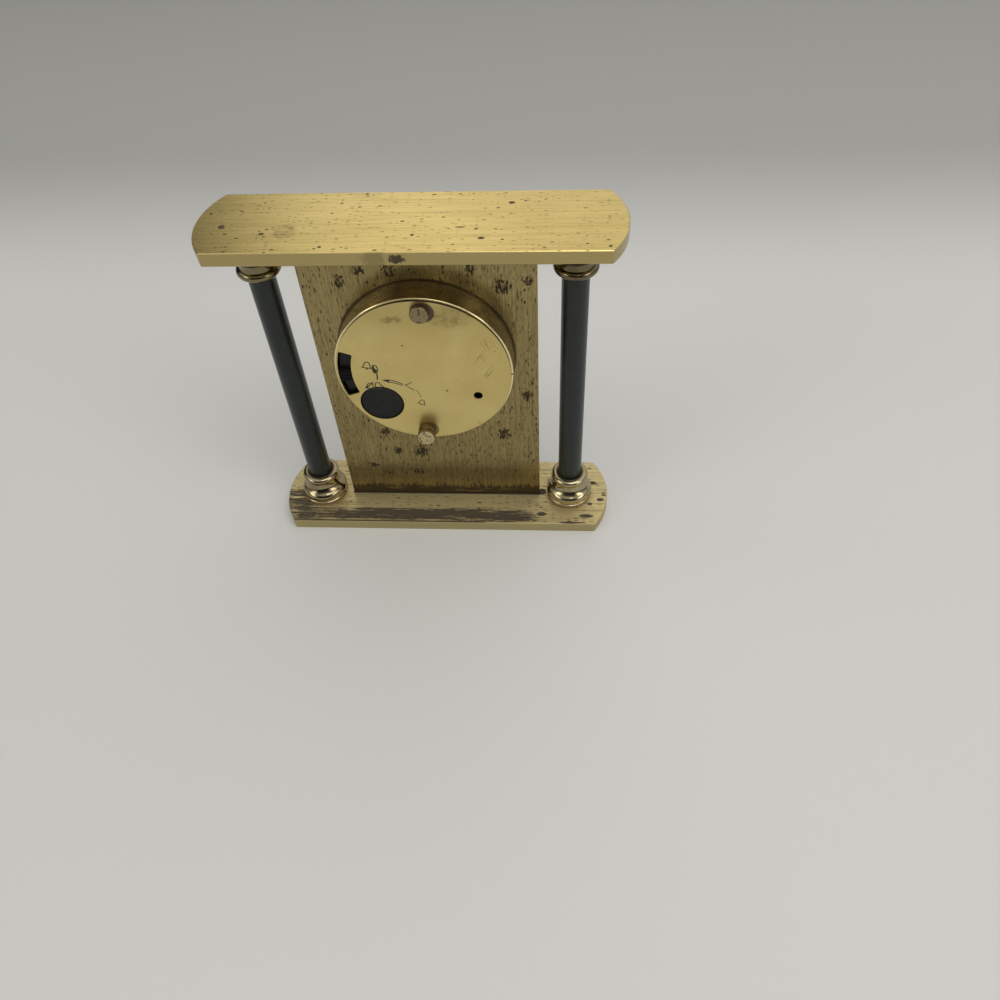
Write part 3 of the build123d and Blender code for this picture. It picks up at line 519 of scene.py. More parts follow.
@dataclass(frozen=True)
class UprightBrass(BrushedBrass):
    """Upright plate: brown with age, brushed upright, with many pits and a painted dark reflection and
    shadow along its foot.
    """

    grain: Grain = Grain.ALONG_Z
    face: Face = Face.UPRIGHT
    colour: Colour = (0.385, 0.305, 0.137)
    shade: Colour = (0.258, 0.198, 0.084)
    stain: Colour = (0.044, 0.030, 0.016)
    roughness: float = 0.27
    contrast: Pair = (0.36, 0.60)
    dash: Pair = (0.36, 4.6)
    dash_share: float = 0.62
    dullness: float = 0.2
    soft: float = 1.0
    marks: tuple[Mark, ...] = marks_at(
        (22.4, 95.9, 2.0, 3.0), (16.5, 99.8, 2.4, 3.0), (7.7, 99.4, 3.0, 3.4),
        (-15.4, 99.5, 2.0, 3.4), (-24.2, 93.9, 3.4, 3.6), (-31.6, 95.5, 2.2, 2.6),
        (-30.5, 52.4, 2.4, 3.6), (-22.4, 34.7, 3.0, 4.2), (6.7, 26.1, 3.6, 4.0),
        (14.7, 26.0, 2.4, 2.4), (17.9, 35.3, 2.4, 3.2), (25.0, 18.7, 3.4, 1.8),
        (19.2, 14.5, 2.6, 3.0), (8.8, 15.7, 2.6, 2.6), (-30.0, 5.4, 5.0, 1.8),
    )

    def dirt_and_shade(self, graph: Graph) -> Value:
        """Pits, thicker inside the marked clusters, painted shade round the drum, and a painted dark
        reflection and a painted shadow line along the foot.

        Args:
            graph: Node tree to add to.

        Returns:
            1 in dirt and in painted shade, 0 on clean brass.
        """
        _, y, z = graph.axes()
        cluster = self.marked(graph, 0.6)
        grit = graph.noise((1.25, 1.25, 0.60), 6.0, 0.75)
        blotch = (grit - 0.66 + cluster * 0.225).ramp(0.0, 0.03)
        # teeth, foot and film: painted dark reflection of the base's oxide along the foot of the plate
        teeth = graph.noise((1.1, 1.1, 0.05), 4.0, 0.75)
        broken = graph.noise((0.10, 0.10, 0.5), 3.0).ramp(0.30, 0.50)
        low = z - BASE_TOP
        foot = (low + 0.6 - teeth * 10.5).fall(-0.8, 0.8) * low.ramp(0.2, 1.0)
        foot = foot * (0.55 + broken * 0.45)
        film = low.fall(9.0, 13.0) * 0.42
        # line: painted shadow where the plate stands on the base
        line = low.fall(0.4, 1.2)
        # grime: painted shade on the plate round the drum's wall, where drum and plate meet
        grime = (graph.from_axis() - CAN_RADIUS).fall(0.15, 0.8) * 0.85
        spots = self.pitted(graph).most(blotch).most(grime)
        return (spots * (0.5 + y.ramp(-0.5, 0.5) * 0.5)).most(foot).most(line).most(film)


@dataclass(frozen=True)
class BaseBrass(BrushedBrass):
    """Base plate: brass worn through to dark oxide in streaks along its rear side."""

    colour: Colour = (0.74, 0.62, 0.33)
    shade: Colour = (0.57, 0.465, 0.235)
    # painted shade on the narrow sides of the base plate
    side: Colour = (0.49, 0.42, 0.22)
    rubbed: Colour = (0.80, 0.69, 0.39)
    stain: Colour = (0.043, 0.032, 0.021)
    roughness: float = 0.58
    dash_share: float = 0.5
    pit: Pair = (0.40, 0.95)
    pit_share: float = 0.22
    scar: Pair = (0.36, 2.8)
    scar_share: float = 0.50
    scar_depth: float = 0.85
    upper: float = BASE_TOP
    marks: tuple[Mark, ...] = marks_at(
        (-53.5, -4.5, 1.6, 0.9), (-56.2, 3.5, 1.4, 0.8), (-52.4, 5.6, 1.0, 0.7),
        (-51.0, 11.3, 2.6, 0.9), (-45.5, 14.4, 4.5, 0.5), (-35.2, 10.6, 1.8, 1.0),
        (-35.2, 0.0, 1.6, 1.6),
    )

    def dirt_and_shade(self, graph: Graph) -> Value:
        """Pits, marks, oxide where streaky noise passes a limit that falls towards the rear, and a painted
        shadow along the foot of the upright plate.

        Args:
            graph: Node tree to add to.

        Returns:
            1 in dirt and in the painted shadow, 0 on clean brass.
        """
        x, y, _ = graph.axes()
        broad = graph.noise((0.07, 0.42, 0.3), 3.0, 0.6)
        fine = graph.noise(graph.spaced((0.12, 2.4, 0.3), (4.0, 2.0, 0.0)), 6.0, 0.78)
        streaks = broad * 0.34 + fine * 0.66
        rear = y.ramp(5.0, 10.5) * (1.0 - y.ramp(PLATE_REAR - 2.0, PLATE_REAR - 0.4) * 0.4)
        middle = x.ramp(-48.0, -26.0) * (1.0 - x.ramp(28.0, 40.0) * 0.12)
        end = x.ramp(42.0, 51.0) * y.ramp(-5.0, 2.0)
        limit = 0.78 - (rear * middle * 0.36).most(end * 0.30)
        oxide = (streaks - limit).ramp(-0.006, 0.008)
        line = y.ramp(PLATE_REAR - 0.9, PLATE_REAR - 0.6) * x.ramp(-17.0, -14.0) * streaks.ramp(0.34, 0.44)
        # painted shadow: a dark line on the base where the upright plate stands in it
        beside = (x.size() - UPRIGHT_HALF).fall(0.05, 0.65)
        contact_shadow = y.ramp(0.2, 0.6) * y.fall(1.3, 2.0) * beside
        spots = self.pitted(graph).most(self.marked(graph, 0.5))
        return spots.most(oxide).most(line).most(contact_shadow) * (1.0 - self.flank(graph))

    def polish(self, graph: Graph) -> Number:
        """Rubbed bright along the rear of the upright plate."""
        x, y, _ = graph.axes()
        return x.size().fall(30.0, 38.0) * y.ramp(0.5, 1.5) * y.fall(8.0, 13.0)


@dataclass(frozen=True)
class PolishedBrass(Finish):
    """Turned and polished brass with faint tool lines round an axis and a soft film of age."""

    grain: Grain = Grain.ALONG_Z
    colour: Colour = (0.43, 0.370, 0.225)
    film: Colour = (0.25, 0.192, 0.102)
    roughness: float = 0.08
    grime: Colour = (0.21, 0.150, 0.070)
    spot: Colour = (0.08, 0.05, 0.03)

    def extra_film(self, graph: Graph) -> Number:
        """How much more film there is than elsewhere."""
        return 0.0

    def dulled(self, graph: Graph) -> Number:
        """1 where grime covers the polish, 0 elsewhere."""
        return 0.0

    def paint(self, graph: Graph) -> Value:
        """Brass dulled where the film's noise is high, with rings across the axis.

        Args:
            graph: Node tree to add to.

        Returns:
            The shader.
        """
        film = graph.noise(0.22, 5.0, 0.65).ramp(0.46, 0.74)
        rings = graph.noise(self.grain.stretch(9.0, 0.0), 2.0)
        specks = graph.pits(0.9, 0.07, 0.30)
        base = graph.mix(film * 0.55 + self.extra_film(graph), self.colour, self.film)
        dull = self.dulled(graph)
        base = graph.mix(dull * 0.85, base, self.grime)
        base = graph.mix(specks * 0.8, base, self.spot)
        rough = self.roughness + film * 0.13 + specks * 0.4 + dull * 0.34
        metal = 1.0 - (specks * 0.6).most(dull * 0.45)
        return graph.surface(base, rough, metal, rings * 0.6 - specks, 0.010, 0.25)


@dataclass(frozen=True)
class FerruleBrass(PolishedBrass):
    """Ferrule: polished brass, dull where it meets its column and its plate, with more film on one side."""

    sleeve: float = 4.9
    foot: float = 1.25
    darker_side: float = 1.0

    def extra_film(self, graph: Graph) -> Number:
        """More film on the ferrules on the side that the sign of darker_side picks."""
        return (graph.axes()[0] * self.darker_side).ramp(-1.0, 1.0) * 0.42

    def dulled(self, graph: Graph) -> Number:
        """Within the sleeve's radius of a column, and close to the plates.

        Args:
            graph: Node tree to add to.

        Returns:
            1 where grime covers the polish, 0 elsewhere.
        """
        x, y, z = graph.axes()
        out = x.size() - COLUMN_X
        close = ((out * out + y * y) ** 0.5).fall(self.sleeve - 0.3, self.sleeve + 0.3)
        ends = (z - BASE_TOP).fall(self.foot - 0.2, self.foot)
        return close.most(ends).most((z - TOP_UNDER).ramp(-self.foot, 0.2 - self.foot))


@dataclass(frozen=True)
class SpunBrass(PolishedBrass):
    """Drum wall: spun brass that has gone brown, with painted light on its top and a painted highlight on
    its polished rim.
    """

    grain: Grain = Grain.ALONG_Y
    colour: Colour = (0.42, 0.355, 0.225)
    film: Colour = (0.27, 0.220, 0.135)
    # painted light: a paler colour for the top of the wall
    painted_top_light: Colour = (0.70, 0.61, 0.41)
    # painted highlight: bright colour for the polished rim
    rim: Colour = (0.90, 0.77, 0.42)
    spot: Colour = (0.06, 0.04, 0.025)
    rim_width: float = 0.5
    roughness: float = 0.24

    def paint(self, graph: Graph) -> Value:
        """Brown brass with spinning lines, painted light towards the top, and a polished rim whose bright
        colour paints a highlight.

        Args:
            graph: Node tree to add to.

        Returns:
            The shader.
        """
        _, y, z = graph.axes()
        film = graph.noise((0.10, 0.4, 0.10), 5.0, 0.65).ramp(0.40, 0.70)
        rings = graph.noise((0.05, 7.0, 0.05), 3.0)
        specks = graph.pits(0.6, 0.10, 0.30)
        # rim band: smoother polished brass whose bright colour is a painted highlight
        rim = (y - CAN_REAR + self.rim_width + film * 0.2).ramp(0.0, 0.3)
        brown = graph.mix(film * 0.6 + rings * 0.25, self.colour, self.film)
        # painted light: paler towards the top of the wall
        brown = graph.mix((z - DIAL_Z).ramp(13.0, 24.0) * (1.0 - film * 0.4), brown, self.painted_top_light)
        base = graph.mix(specks * 0.8, graph.mix(rim, brown, self.rim), self.spot)
        rough = self.roughness + film * 0.12 - rim * 0.14
        return graph.surface(base, rough, 1.0 - specks * 0.6, rings, 0.02, 0.3)


@dataclass(frozen=True)
class SatinDisc(Finish):
    """Rear disc: pale satin brass with smudges, a fan of scratches and a few dots, and painted shade at its
    top, on its edge and round the nuts.
    """

    colour: Colour = (0.74, 0.60, 0.25)
    shade: Colour = (0.67, 0.53, 0.205)
    smudge: Colour = (0.32, 0.245, 0.095)
    stain: Colour = (0.06, 0.04, 0.025)
    roughness: float = 0.36
    smear: Mark = Mark(7.2, 89.2, 3.6, 1.7)
    haze: Mark = Mark(-9.5, 90.0, 7.5, 4.4)
    scraped: Mark = Mark(-18.5, 76.0, 5.5, 9.5)
    # painted shadow: dark rings on the disc round the roots of the two thumb nuts
    upper_nut_shadow: Mark = Mark(-2.1, 91.6, 3.5, 3.5)
    lower_nut_shadow: Mark = Mark(0.7, 45.9, 3.2, 3.2)
    nut_shadow_edge: float = 0.25

    def paint(self, graph: Graph) -> Value:
        """Even brass; smudges by soft ellipses of noise; scratches as thin lines in two slants; painted
        shade towards the top, on the edge and in rings round the nuts.

        Args:
            graph: Node tree to add to.

        Returns:
            The shader.
        """
        x, _, z = graph.axes()
        cloud = graph.noise(0.06, 4.0)
        mottled = graph.noise(0.55, 6.0, 0.7)
        smear = self.smear.spread(x, z).fall(0.2, 1.2)
        haze = self.haze.spread(x, z).fall(0.2, 1.2)
        smudge = (smear * mottled.ramp(0.36, 0.56)).most(haze * (mottled.ramp(0.46, 0.60) * 0.6 + 0.4))
        # painted shadow rings round the nuts
        upper, lower = (
            (nut_shadow.spread(x, z) ** 0.5).fall(1.0 - self.nut_shadow_edge / nut_shadow.half_width, 1.0)
            for nut_shadow in (self.upper_nut_shadow, self.lower_nut_shadow)
        )
        nut_shadow_ring = upper.most(lower * 0.8)
        scraped = self.scraped.spread(x, z).fall(0.4, 1.0)
        lines = self.scratches(graph, x * 0.59 - z * 0.81, x * 0.81 + z * 0.59)
        cross = self.scratches(graph, x * 0.37 + z * 0.93, x * 0.93 - z * 0.37)
        scratch = lines.most(cross) * scraped
        dots = graph.pits(graph.spaced(0.34, (0.2, 0.0, 0.4)), 0.44, 0.16)
        base = graph.mix(cloud.ramp(0.35, 0.65), self.shade, self.colour)
        # painted shade: the smudge colour darkens the disc towards its top, standing in for a dark
        # reflection
        base = graph.mix((z - DIAL_Z).ramp(7.0, 27.0) * 0.36, base, self.smudge)
        base = graph.mix((smudge * 0.7).most(scratch * 0.6), base, self.smudge)
        # painted shade: the disc's edge darkened all round
        edge = graph.from_axis().ramp(DISC_RADIUS - 0.09, DISC_RADIUS - 0.02)
        base = graph.mix((dots * 0.9).most(nut_shadow_ring * 0.9).most(edge), base, self.stain)
        rough = self.roughness + (mottled - 0.5) * 0.06 + smudge * 0.16 + scratch * 0.2
        metal = 1.0 - (dots * 0.7).most(nut_shadow_ring * 0.6)
        return graph.surface(base, rough, metal, 0.0 - scratch - dots, 0.02, 0.4)

    @staticmethod
    def scratches(graph: Graph, along: Value, across: Value) -> Value:
        """Short thin lines.

        A line is where the noise across it, drawn out along it, is close to its middle value.

        Args:
            graph: Node tree to add to.
            along: Distance along the lines in millimetres.
            across: Distance across the lines in millimetres.

        Returns:
            1 on a line, 0 elsewhere.
        """
        long, short = (
            graph.node("ShaderNodeCombineXYZ", {}, {0: along * scale, 1: across * 0.9})
            for scale in (0.03, 0.2)
        )
        wave, broken = graph.noise(long, 0.0), graph.noise(short, 1.0)
        return (wave - 0.5).size().fall(0.01, 0.045) * broken.ramp(0.50, 0.58)


@dataclass(frozen=True)
class NutBrass(Finish):
    """Thumb nut: knurled sides painted dark brown as shade, a pale pitted end."""

    end_at: float
    pale: Colour
    # brown and worn: dark side colours that paint shade on the knurled sides, in bands
    brown: Colour = (0.115, 0.086, 0.045)
    worn: Colour = (0.235, 0.180, 0.095)
    stain: Colour = (0.050, 0.036, 0.022)

    def paint(self, graph: Graph) -> Value:
        """Sides of painted-shade brown in bands along the axis, and an end with dark pits.

        Args:
            graph: Node tree to add to.

        Returns:
            The shader.
        """
        _, y, _ = graph.axes()
        end = y.ramp(self.end_at, self.end_at + 0.1)
        band = graph.noise((0.25, 1.1, 0.25), 3.0)
        worn = graph.noise((0.95, 0.5, 0.95), 5.0, 0.7)
        pits = worn.ramp(0.55, 0.61) * end
        # painted shade: the sides take the dark browns, the end the pale colour
        sides = graph.mix(band.ramp(0.4, 0.65), self.brown, self.worn)
        base = graph.mix(pits, graph.mix(end, sides, self.pale), self.stain)
        rough = 0.36 + worn * 0.12 + pits * 0.2
        return graph.surface(base, rough, 1.0 - pits * 0.7, worn - pits, 0.03, 0.4)


@dataclass(frozen=True)
class Fine(Finish):
    """Moulded, painted or plated surface: two close tones, a fine texture and a few scuffs."""

    colour: Colour = (0.5, 0.5, 0.5)
    shade: Colour = (0.4, 0.4, 0.4)
    metallic: float = 0.0
    roughness: float = 0.4
    texture: float = 2.0
    relief: float = 0.02
    coat: float = 0.0
    gloss: float = 0.5

    def paint(self, graph: Graph) -> Value:
        """Tone by broad and fine noise, roughness and relief by the fine one, and dull scuffs.

        Args:
            graph: Node tree to add to.

        Returns:
            The shader.
        """
        broad = graph.noise(0.12, 4.0)
        fine = graph.noise(self.texture, 3.0, 0.6)
        scuff = graph.noise((0.5, 0.5, 0.09), 6.0, 0.7).ramp(0.60, 0.72)
        base = graph.mix((broad * 0.6 + fine * 0.4).ramp(0.36, 0.64), self.shade, self.colour)
        rough = self.roughness + (fine - 0.5) * 0.14 + scuff * 0.12
        fixed = {"Coat_Weight": self.coat, "Coat_Roughness": 0.12, "Specular_IOR_Level": self.gloss}
        return graph.surface(base, rough, self.metallic, fine, self.relief, 0.4, **fixed)


@dataclass(frozen=True)
class Winding(Finish):
    """Enamelled wire wound round the X axis, with painted shade between the turns."""

    pitch: float = 0.14
    colour: Colour = (0.62, 0.26, 0.11)
    # gap: dark colour between turns, painted shade in the creases between the wires
    gap: Colour = (0.20, 0.07, 0.03)

    def paint(self, graph: Graph) -> Value:
        """Turns of wire as a sine along X, slightly uneven.

        Args:
            graph: Node tree to add to.

        Returns:
            The shader.
        """
        x, _, _ = graph.axes()
        uneven = graph.noise(0.8, 2.0)
        turns = ((x + uneven * 0.1) * (2.0 * np.pi / self.pitch)).sine() * 0.5 + 0.5
        base = graph.mix(turns, self.gap, self.colour)
        return graph.surface(base, 0.36 - turns * 0.1, 0.8, turns, 0.05, 0.6)


@dataclass(frozen=True)
class DialEnamel(Finish):
    """Ivory dial, darker and warmer towards its edge as painted shade, with a fine orange-peel surface."""

    colour: Colour = (0.86, 0.82, 0.70)
    # painted shade: darker colour towards the dial's edge, under the bezel
    edge: Colour = (0.74, 0.66, 0.48)
    spot: Colour = (0.35, 0.27, 0.15)

    def paint(self, graph: Graph) -> Value:
        """Tone by the distance from the centre, plus soft noise and small specks.

        Args:
            graph: Node tree to add to.

        Returns:
            The shader.
        """
        out = graph.from_axis() / DIAL_RADIUS
        cloud = graph.noise(0.12, 5.0)
        peel = graph.noise(2.4, 2.0)
        specks = graph.pits(0.5, 0.06, 0.12)
        # painted shade: the dial darkens towards its edge
        base = graph.mix((out + cloud * 0.5 - 0.25).ramp(0.55, 1.15), self.colour, self.edge)
        base = graph.mix(specks * 0.5, base, self.spot)
        return graph.surface(base, 0.42 + (peel - 0.5) * 0.1, 0.0, peel, 0.02, 0.3)


@dataclass(frozen=True)
class ClearGlass(Finish):
    """Window glass that reflects at its surface and lets the rest through, with a faint haze."""

    def paint(self, graph: Graph) -> Value:
        """Clear and glossy shaders mixed by how much glass reflects at each angle.

        Args:
            graph: Node tree to add to.

        Returns:
            The shader.
        """
        haze = graph.noise(0.08, 5.0, 0.65)
        gloss = graph.surface((0.90, 0.94, 0.93), 0.03 + haze * 0.05, 0.0)
        clear = graph.node("ShaderNodeBsdfTransparent", {}, {"Color": (0.97, 0.985, 0.98)}, "BSDF")
        mirrored = graph.node("ShaderNodeFresnel", {}, {"IOR": 1.45}, "Fac")
        share = mirrored * 0.9 + haze.ramp(0.45, 0.8) * 0.02
        return graph.node("ShaderNodeMixShader", {}, {0: share, 1: clear, 2: gloss}, "Shader")


class Finishes:
    """All finishes of the clock, each made once."""

    def __init__(self) -> None:
        """Make every material."""
        black, soot = (0.010, 0.010, 0.0095), (0.006, 0.006, 0.006)
        self.top = TopBrass("top_plate_brass").material()
        self.base = BaseBrass("base_plate_brass").material()
        self.upright = UprightBrass("upright_plate_brass").material()
        self.polished = FerruleBrass("polished_brass").material()
        # darker copy of the ferrule brass for the head ferrules under the top plate: tarnish, and painted
        # shade for the top plate's shadow
        self.aged_and_shaded = FerruleBrass(
            "aged_and_shaded_brass", Grain.ALONG_Z, (0.235, 0.192, 0.106), film=(0.115, 0.092, 0.052),
            roughness=0.12, darker_side=-1.0,
        ).material()
        self.bezel = PolishedBrass(
            "bezel_brass", Grain.ALONG_Y, (0.72, 0.57, 0.25), film=(0.42, 0.32, 0.14), roughness=0.12
        ).material()
        self.spun = SpunBrass("drum_wall_brass").material()
        self.disc = SatinDisc("rear_disc_brass").material()
        self.lacquer = Fine(
            "column_lacquer", (0.0085, 0.0145, 0.0122), (0.0055, 0.0098, 0.0083),
            roughness=0.30, texture=1.4, relief=0.012, gloss=0.45,
        ).material()
        self.steel = Fine(
            "plated_steel", (0.62, 0.61, 0.58), (0.45, 0.44, 0.42), metallic=1.0, roughness=0.28, texture=3.0
        ).material()
        self.cell = Fine(
            "cell_steel", (0.72, 0.71, 0.68), (0.60, 0.59, 0.57),
            metallic=1.0, roughness=0.20, texture=4.0, relief=0.01,
        ).material()
        self.black = Fine("black_moulding", black, soot, roughness=0.36, texture=5.0, gloss=0.25).material()
        self.dull = Fine("dull_moulding", black, soot, roughness=0.60, texture=5.0, gloss=0.10).material()
        self.white = Fine("white_moulding", (0.80, 0.79, 0.74), (0.72, 0.70, 0.64), texture=4.0).material()
        self.arbor = Fine(
            "arbor_brass", (0.80, 0.62, 0.26), (0.62, 0.47, 0.18), metallic=1.0, roughness=0.22, texture=5.0
        ).material()
        self.dial = DialEnamel("dial_enamel").material()
        self.ink = Fine(
            "print_black", (0.016, 0.014, 0.012), (0.010, 0.009, 0.008),
            roughness=0.45, texture=6.0, relief=0.005,
        ).material()
        self.marks = Fine(
            "print_brown", (0.060, 0.042, 0.024), (0.035, 0.024, 0.014),
            roughness=0.5, texture=3.0, relief=0.005,
        ).material()
        self.worn_marks = Fine(
            "print_worn", (0.26, 0.20, 0.085), (0.16, 0.12, 0.05), metallic=0.7, texture=3.0, relief=0.005
        ).material()
        self.hand_black = Fine(
            "hand_black", black, soot, roughness=0.22, texture=4.0, relief=0.004, coat=0.4
        ).material()
        self.hand_gold = Fine(
            "hand_gold", (0.84, 0.62, 0.22), (0.70, 0.50, 0.16),
            metallic=1.0, roughness=0.24, texture=5.0, relief=0.006,
        ).material()
        self.glass = ClearGlass("clear_glass").material()
        self.magnet = Fine(
            "sintered_magnet", (0.16, 0.16, 0.17), (0.10, 0.10, 0.11),
            metallic=0.7, roughness=0.5, texture=6.0, relief=0.03,
        ).material()
        self.copper = Winding("copper_winding").material()
        self.board = Fine(
            "board_green", (0.035, 0.16, 0.06), (0.02, 0.10, 0.04), roughness=0.35, texture=1.0
        ).material()


def arc_through(first: Point, middle: Point, last: Point, count: int) -> Array:
    """Arc through three points: the centre is equally far from all, and the angle runs evenly.

    Args:
        first: Start of the arc.
        middle: A point on it.
        last: End of the arc.
        count: Number of points.

    Returns:
        Array of points.
    """
    a, b, c = (np.asarray(p, float) for p in (first, middle, last))
    centre = np.linalg.solve(2.0 * np.array([b - a, c - b]), np.array([b @ b - a @ a, c @ c - b @ b]))
    angles = np.unwrap([np.arctan2(*(p - centre)[::-1]) for p in (a, b, c)])
    turn = np.linspace(angles[0], angles[2], count)
    return centre + np.hypot(*(a - centre)) * np.column_stack([np.cos(turn), np.sin(turn)])


def arc_leaving(start: Point, heading: Point, end: Point, count: int) -> Array:
    """Arc that leaves a point in a direction and ends at another.

    With d the step to the end and n the normal of the heading, the radius is d.d / (2 d.n); the
    middle point follows from the half angle, and the arc goes through all three.

    Args:
        start: Start of the arc.
        heading: Direction at the start.
        end: End of the arc.
        count: Number of points.

    Returns:
        Array of points.
    """
    a, b = np.asarray(start, float), np.asarray(end, float)
    along = np.asarray(heading, float) / np.hypot(*heading)
    normal = np.array([-along[1], along[0]])
    step = b - a
    radius = step @ step / (2.0 * step @ normal)
    centre = a + radius * normal
    chord = (a + b) / 2.0 - centre
    return arc_through(a, centre + chord / np.hypot(*chord) * abs(radius), b, count)


def eased(corners: Sequence[Point], steps: int = 5) -> Array:
    """Closed outline with its corners rounded.

    Each corner B with reach d becomes the curve (1-t)^2 A + 2t(1-t) B + t^2 C, where A and C lie at d
    from B towards its neighbours; a corner of no reach stays a point.

    Args:
        corners: Rows of radius, height and reach.
        steps: Points for each corner.

    Returns:
        Array of points without repeats.
    """
    corners = np.asarray(corners, float)
    point, reach = corners[:, :2], corners[:, 2:]
    before, after = np.roll(point, 1, 0) - point, np.roll(point, -1, 0) - point
    start = point + before / np.linalg.norm(before, axis=1, keepdims=True) * reach
    end = point + after / np.linalg.norm(after, axis=1, keepdims=True) * reach
    t = np.linspace(0.0, 1.0, steps)[None, :, None]
    curve = (1 - t) ** 2 * start[:, None] + 2 * t * (1 - t) * point[:, None] + t**2 * end[:, None]
    line = curve.reshape(-1, 2)
    return line[np.linalg.norm(line - np.roll(line, 1, 0), axis=1) > 1e-6]


def with_reach(points: Array, reach: float = 0.0) -> Array:
    """Rows of points with one reach for all of them."""
    points = np.atleast_2d(np.asarray(points, float))
    return np.column_stack([points, np.full(len(points), reach)])


def grid_faces(rows: int, columns: int, closed_rows: bool, closed_columns: bool) -> Array:
    """Quads of a grid: corners (i, j), (i+1, j), (i+1, j+1), (i, j+1), wrapped where it is closed.

    Args:
        rows: Points along the first parameter.
        columns: Points along the second parameter.
        closed_rows: The first parameter runs round.
        closed_columns: The second parameter runs round.

    Returns:
        Array of vertex numbers, four a face.
    """
    i = np.arange(rows if closed_rows else rows - 1)[:, None]
    j = np.arange(columns if closed_columns else columns - 1)[None, :]
    ni, nj = (i + 1) % rows, (j + 1) % columns
    corners = ((i, j), (ni, j), (ni, nj), (i, nj))
    return np.stack([row * columns + column for row, column in corners], -1).reshape(-1, 4)


def make_piece(
    name: str, points: Array, faces: Array, material: Material, smooth: float = 35.0
) -> Object:
    """Mesh object from arrays, with doubles merged and faces turned outwards.

    Args:
        name: Name of the piece.
        points: Vertices in metres.
        faces: Vertex numbers, four a face.
        material: Finish of the piece.
        smooth: Edges flatter than this angle in degrees are shaded smooth.

    Returns:
        The object, linked to the scene.
    """
    mesh = bpy.data.meshes.new(name)
    mesh.from_pydata(points.reshape(-1, 3).tolist(), [], faces.tolist())
    work = bmesh.new()
    work.from_mesh(mesh)
    bmesh.ops.remove_doubles(work, verts=work.verts, dist=1e-7)
    bmesh.ops.dissolve_degenerate(work, edges=work.edges, dist=1e-8)
    bmesh.ops.recalc_face_normals(work, faces=work.faces)
    work.to_mesh(mesh)
    work.free()
    mesh.shade_smooth()
    mesh.set_sharp_from_angle(angle=np.radians(smooth))
    mesh.materials.append(material)
    piece = bpy.data.objects.new(name, mesh)
    bpy.context.scene.collection.objects.link(piece)
    LOG.info("piece %s: %d faces", name, len(mesh.polygons))
    return piece


def turned(
    name: str,
    profile: Array,
    foot: Vector,
    axis: Vector,
    material: Material,
    segments: int = 96,
    ridges: int = 0,
    ridge_depth: Array | None = None,
) -> Object:
    """Surface of revolution, with optional ridges.

    The point (s, t) is foot + h(s) axis + (r(s) - k(s) (1 - cos(n t)) / 2) (cos t u + sin t v), where n is
    the number of ridges and k their depth.

    Args:
        name: Name of the piece.
        profile: Closed outline as rows of radius and height in millimetres.
        foot: Point on the axis at height zero, in metres.
        axis: Unit vector along the axis.
        material: Finish of the piece.
        segments: Steps round the axis.
        ridges: Number of ridges round the axis.
        ridge_depth: Depth of the ridges at each point of the outline, in millimetres.

    Returns:
        The object.
    """
    u = np.array(axis.orthogonal().normalized())
    v = np.array(axis.cross(Vector(u)))
    turn = np.linspace(0.0, 2.0 * np.pi, segments, endpoint=False)[None, :]
    radius = profile[:, :1] * np.ones_like(turn)
    if ridges and ridge_depth is not None:
        radius = radius - ridge_depth[:, None] * (1.0 - np.cos(ridges * turn)) / 2.0
    points = (
        np.array(foot)
        + MM * profile[:, 1][:, None, None] * np.array(axis)
        + MM * (radius * np.cos(turn))[..., None] * u
        + MM * (radius * np.sin(turn))[..., None] * v
    )
    return make_piece(name, points, grid_faces(len(profile), segments, True, True), material)


@dataclass
class Print:
    """Thin raised strokes on an upright face, seen from outside, gathered into one piece."""

    origin: Vector
    out: Vector
    thickness: float = 0.02
    points: list[Array] = field(default_factory=list)
    faces: list[Array] = field(default_factory=list)

    def stroke(self, path: Array, width: Union[float, Array], closed: bool = False) -> None:
        """Flat band along a path.

        The point (s, t) is path(s) plus half the width(s) to each side along the path's normal, at the face
        and at the face plus the thickness, which gives a rectangular section carried along the path.

        Args:
            path: Rows of right and up in millimetres.
            width: Width of the band, one number or one for each point.
            closed: The path runs back to its start.
        """
        path = np.asarray(path, float)
        if closed:
            tangent = np.roll(path, -1, 0) - np.roll(path, 1, 0)
        else:
            tangent = np.gradient(path, axis=0)
        tangent /= np.maximum(np.linalg.norm(tangent, axis=1, keepdims=True), 1e-9)
        half = np.broadcast_to(width, len(path))[:, None] / 2
        side = np.column_stack([-tangent[:, 1], tangent[:, 0]]) * half
        rails = np.stack([path + side, path - side, path - side, path + side], 1)
        height = np.array([0.0, 0.0, self.thickness, self.thickness])
        solid = (
            np.array(self.origin)
            + MM * rails[..., :1] * np.array(UP.cross(self.out))
            + MM * rails[..., 1:] * np.array(UP)
            + MM * height[None, :, None] * np.array(self.out)
        )
        faces = grid_faces(len(path), 4, closed, True)
        if not closed:
            last = 4 * (len(path) - 1)
            faces = np.vstack([faces, [[0, 1, 2, 3], [last + 3, last + 2, last + 1, last]]])
        start = sum(len(p) for p in self.points)
        self.points.append(solid.reshape(-1, 3))
        self.faces.append(faces + start)

    def line(self, start: Point, end: Point, width: Union[float, Array]) -> None:
        """Straight stroke of two points."""
        self.stroke(np.array([start, end], float), width)

    def dot(self, centre: Point, radius: float) -> None:
        """Round dot: a stroke of width 2 sqrt(r^2 - s^2).

        Args:
            centre: Middle of the dot in millimetres.
            radius: Radius of the dot.
        """
        s = radius * np.cos(np.linspace(np.pi, 0.0, 9))
        width = 2.0 * np.sqrt(np.maximum(radius**2 - s**2, (0.02 * radius) ** 2))
        self.stroke(np.column_stack([centre[0] + s, np.full(9, centre[1])]), width)

    def piece(self, name: str, material: Material) -> Object:
        """All strokes as one object."""
        return make_piece(name, np.vstack(self.points), np.vstack(self.faces), material, 20.0)


